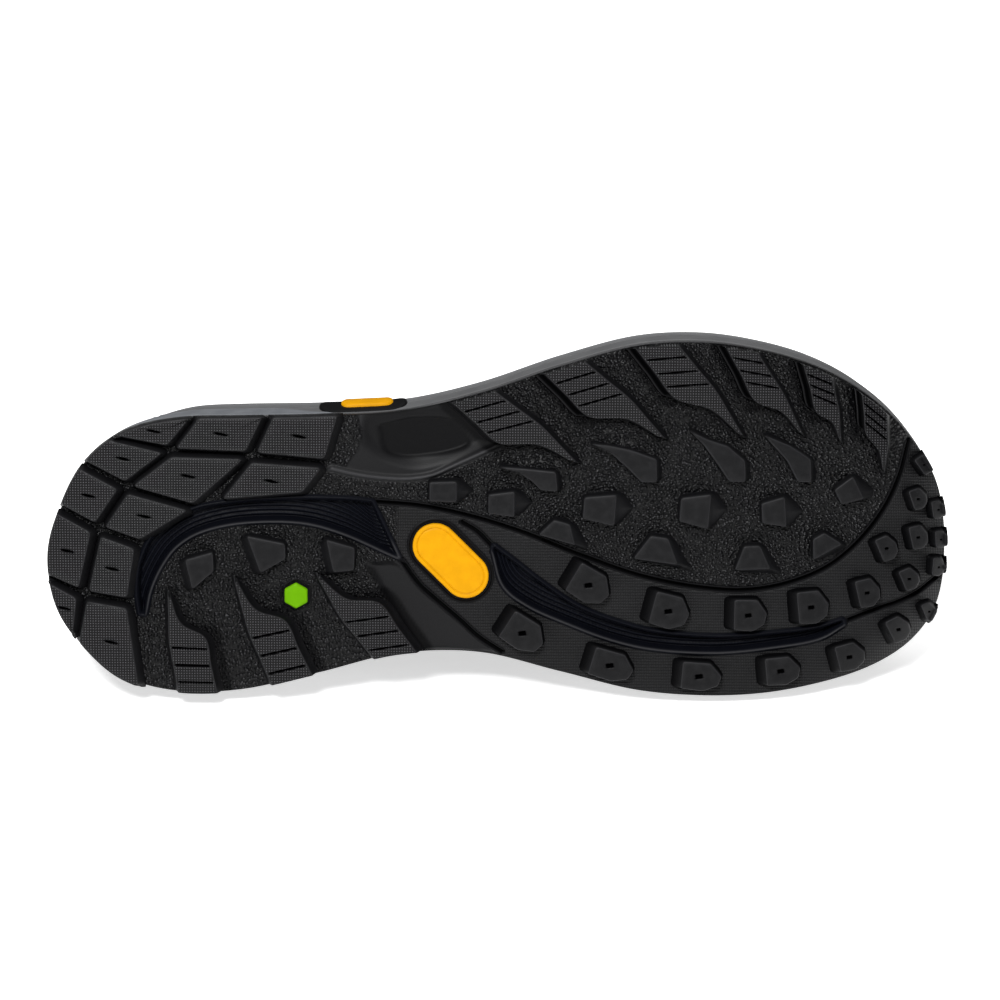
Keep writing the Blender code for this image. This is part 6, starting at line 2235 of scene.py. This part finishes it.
def make_camera():
    """Looks at the tread from a little above its own normal, level with the floor."""
    data = bpy.data.cameras.new("camera")
    data.lens = CAMERA_LENS
    data.sensor_width = CAMERA_SENSOR
    camera = bpy.data.objects.new("camera", data)
    bpy.context.scene.collection.objects.link(camera)
    aim = Vector(placed(np.array(CAMERA_AIM)))
    rise = math.radians(LYING_ROLL - 90.0 + CAMERA_TILT)
    back = Vector((0.0, -math.cos(rise), math.sin(rise)))
    camera.location = aim + back * (CAMERA_RANGE * MM)
    camera.rotation_euler = (-back).to_track_quat("-Z", "Y").to_euler()
    data.clip_start = 0.01
    data.clip_end = 50.0
    bpy.context.scene.camera = camera


def add_light(name, place, aim, size, power):
    """A rectangular area light that looks at a point."""
    data = bpy.data.lights.new(name, "AREA")
    data.shape = "RECTANGLE"
    data.size, data.size_y = size
    data.energy = power
    light = bpy.data.objects.new(name, data)
    bpy.context.scene.collection.objects.link(light)
    light.location = place
    light.rotation_euler = (Vector(aim) - Vector(place)).to_track_quat("-Z", "Y").to_euler()


FLOOR_GLOW = 0.6


def make_stage():
    """Pale floor with a faint glow of its own, a dim even room and soft lights above."""
    finish = Finish("pale_floor", (0.92, 0.92, 0.92), 0.7, 0.2)
    finish.relief(finish.noise(finish.space(), 8.0, 2.0), 0.02)
    finish.shader.inputs["Emission Color"].default_value = (1.0, 1.0, 1.0, 1.0)
    finish.shader.inputs["Emission Strength"].default_value = FLOOR_GLOW
    mesh = bpy.data.meshes.new("floor")
    half = 6.0
    corners = [(-half, -half, 0.0), (half, -half, 0.0), (half, half, 0.0), (-half, half, 0.0)]
    mesh.from_pydata(corners, [], [(0, 1, 2, 3)])
    mesh.materials.append(finish.material)
    floor = bpy.data.objects.new("floor", mesh)
    bpy.context.scene.collection.objects.link(floor)
    world = bpy.data.worlds.new("studio")
    world.use_nodes = True
    world.node_tree.nodes["Background"].inputs["Color"].default_value = (1.0, 1.0, 1.0, 1.0)
    world.node_tree.nodes["Background"].inputs["Strength"].default_value = 0.15
    bpy.context.scene.world = world
    add_light("key", (-0.28, -1.2, 1.25), (0.0, 0.0, 0.06), (0.4, 0.4), 50.0)
    add_light("fill", (1.1, -0.8, 0.9), (0.0, 0.0, 0.05), (0.9, 0.9), 2.0)
    add_light("top", (0.0, 0.3, 1.6), (0.0, 0.0, 0.0), (1.6, 1.2), 12.0)
    bpy.context.scene.view_settings.view_transform = "Standard"


def main():
    """Camera and stage first, then every piece from the tread to the lace."""
    make_camera()
    make_stage()
    make_tread_floor()
    make_windows()
    make_mould_lines()
    make_heel_blocks()
    make_fangs()
    plain = lug_finish("plain_lug_rubber", False)
    make_crescents(plain)
    make_wedges(plain)
    make_studs("stud_lugs", STUDS, STUD_MARGIN, plain)
    make_studs("toe_studs", TOE_STUDS, TOE_STUD_MARGIN, plain)
    make_small_pieces()
    make_midsole()
    make_upper()
    make_stitches()
    make_eyelets()
    make_insole()
    make_tongue()
    make_lace()


main()
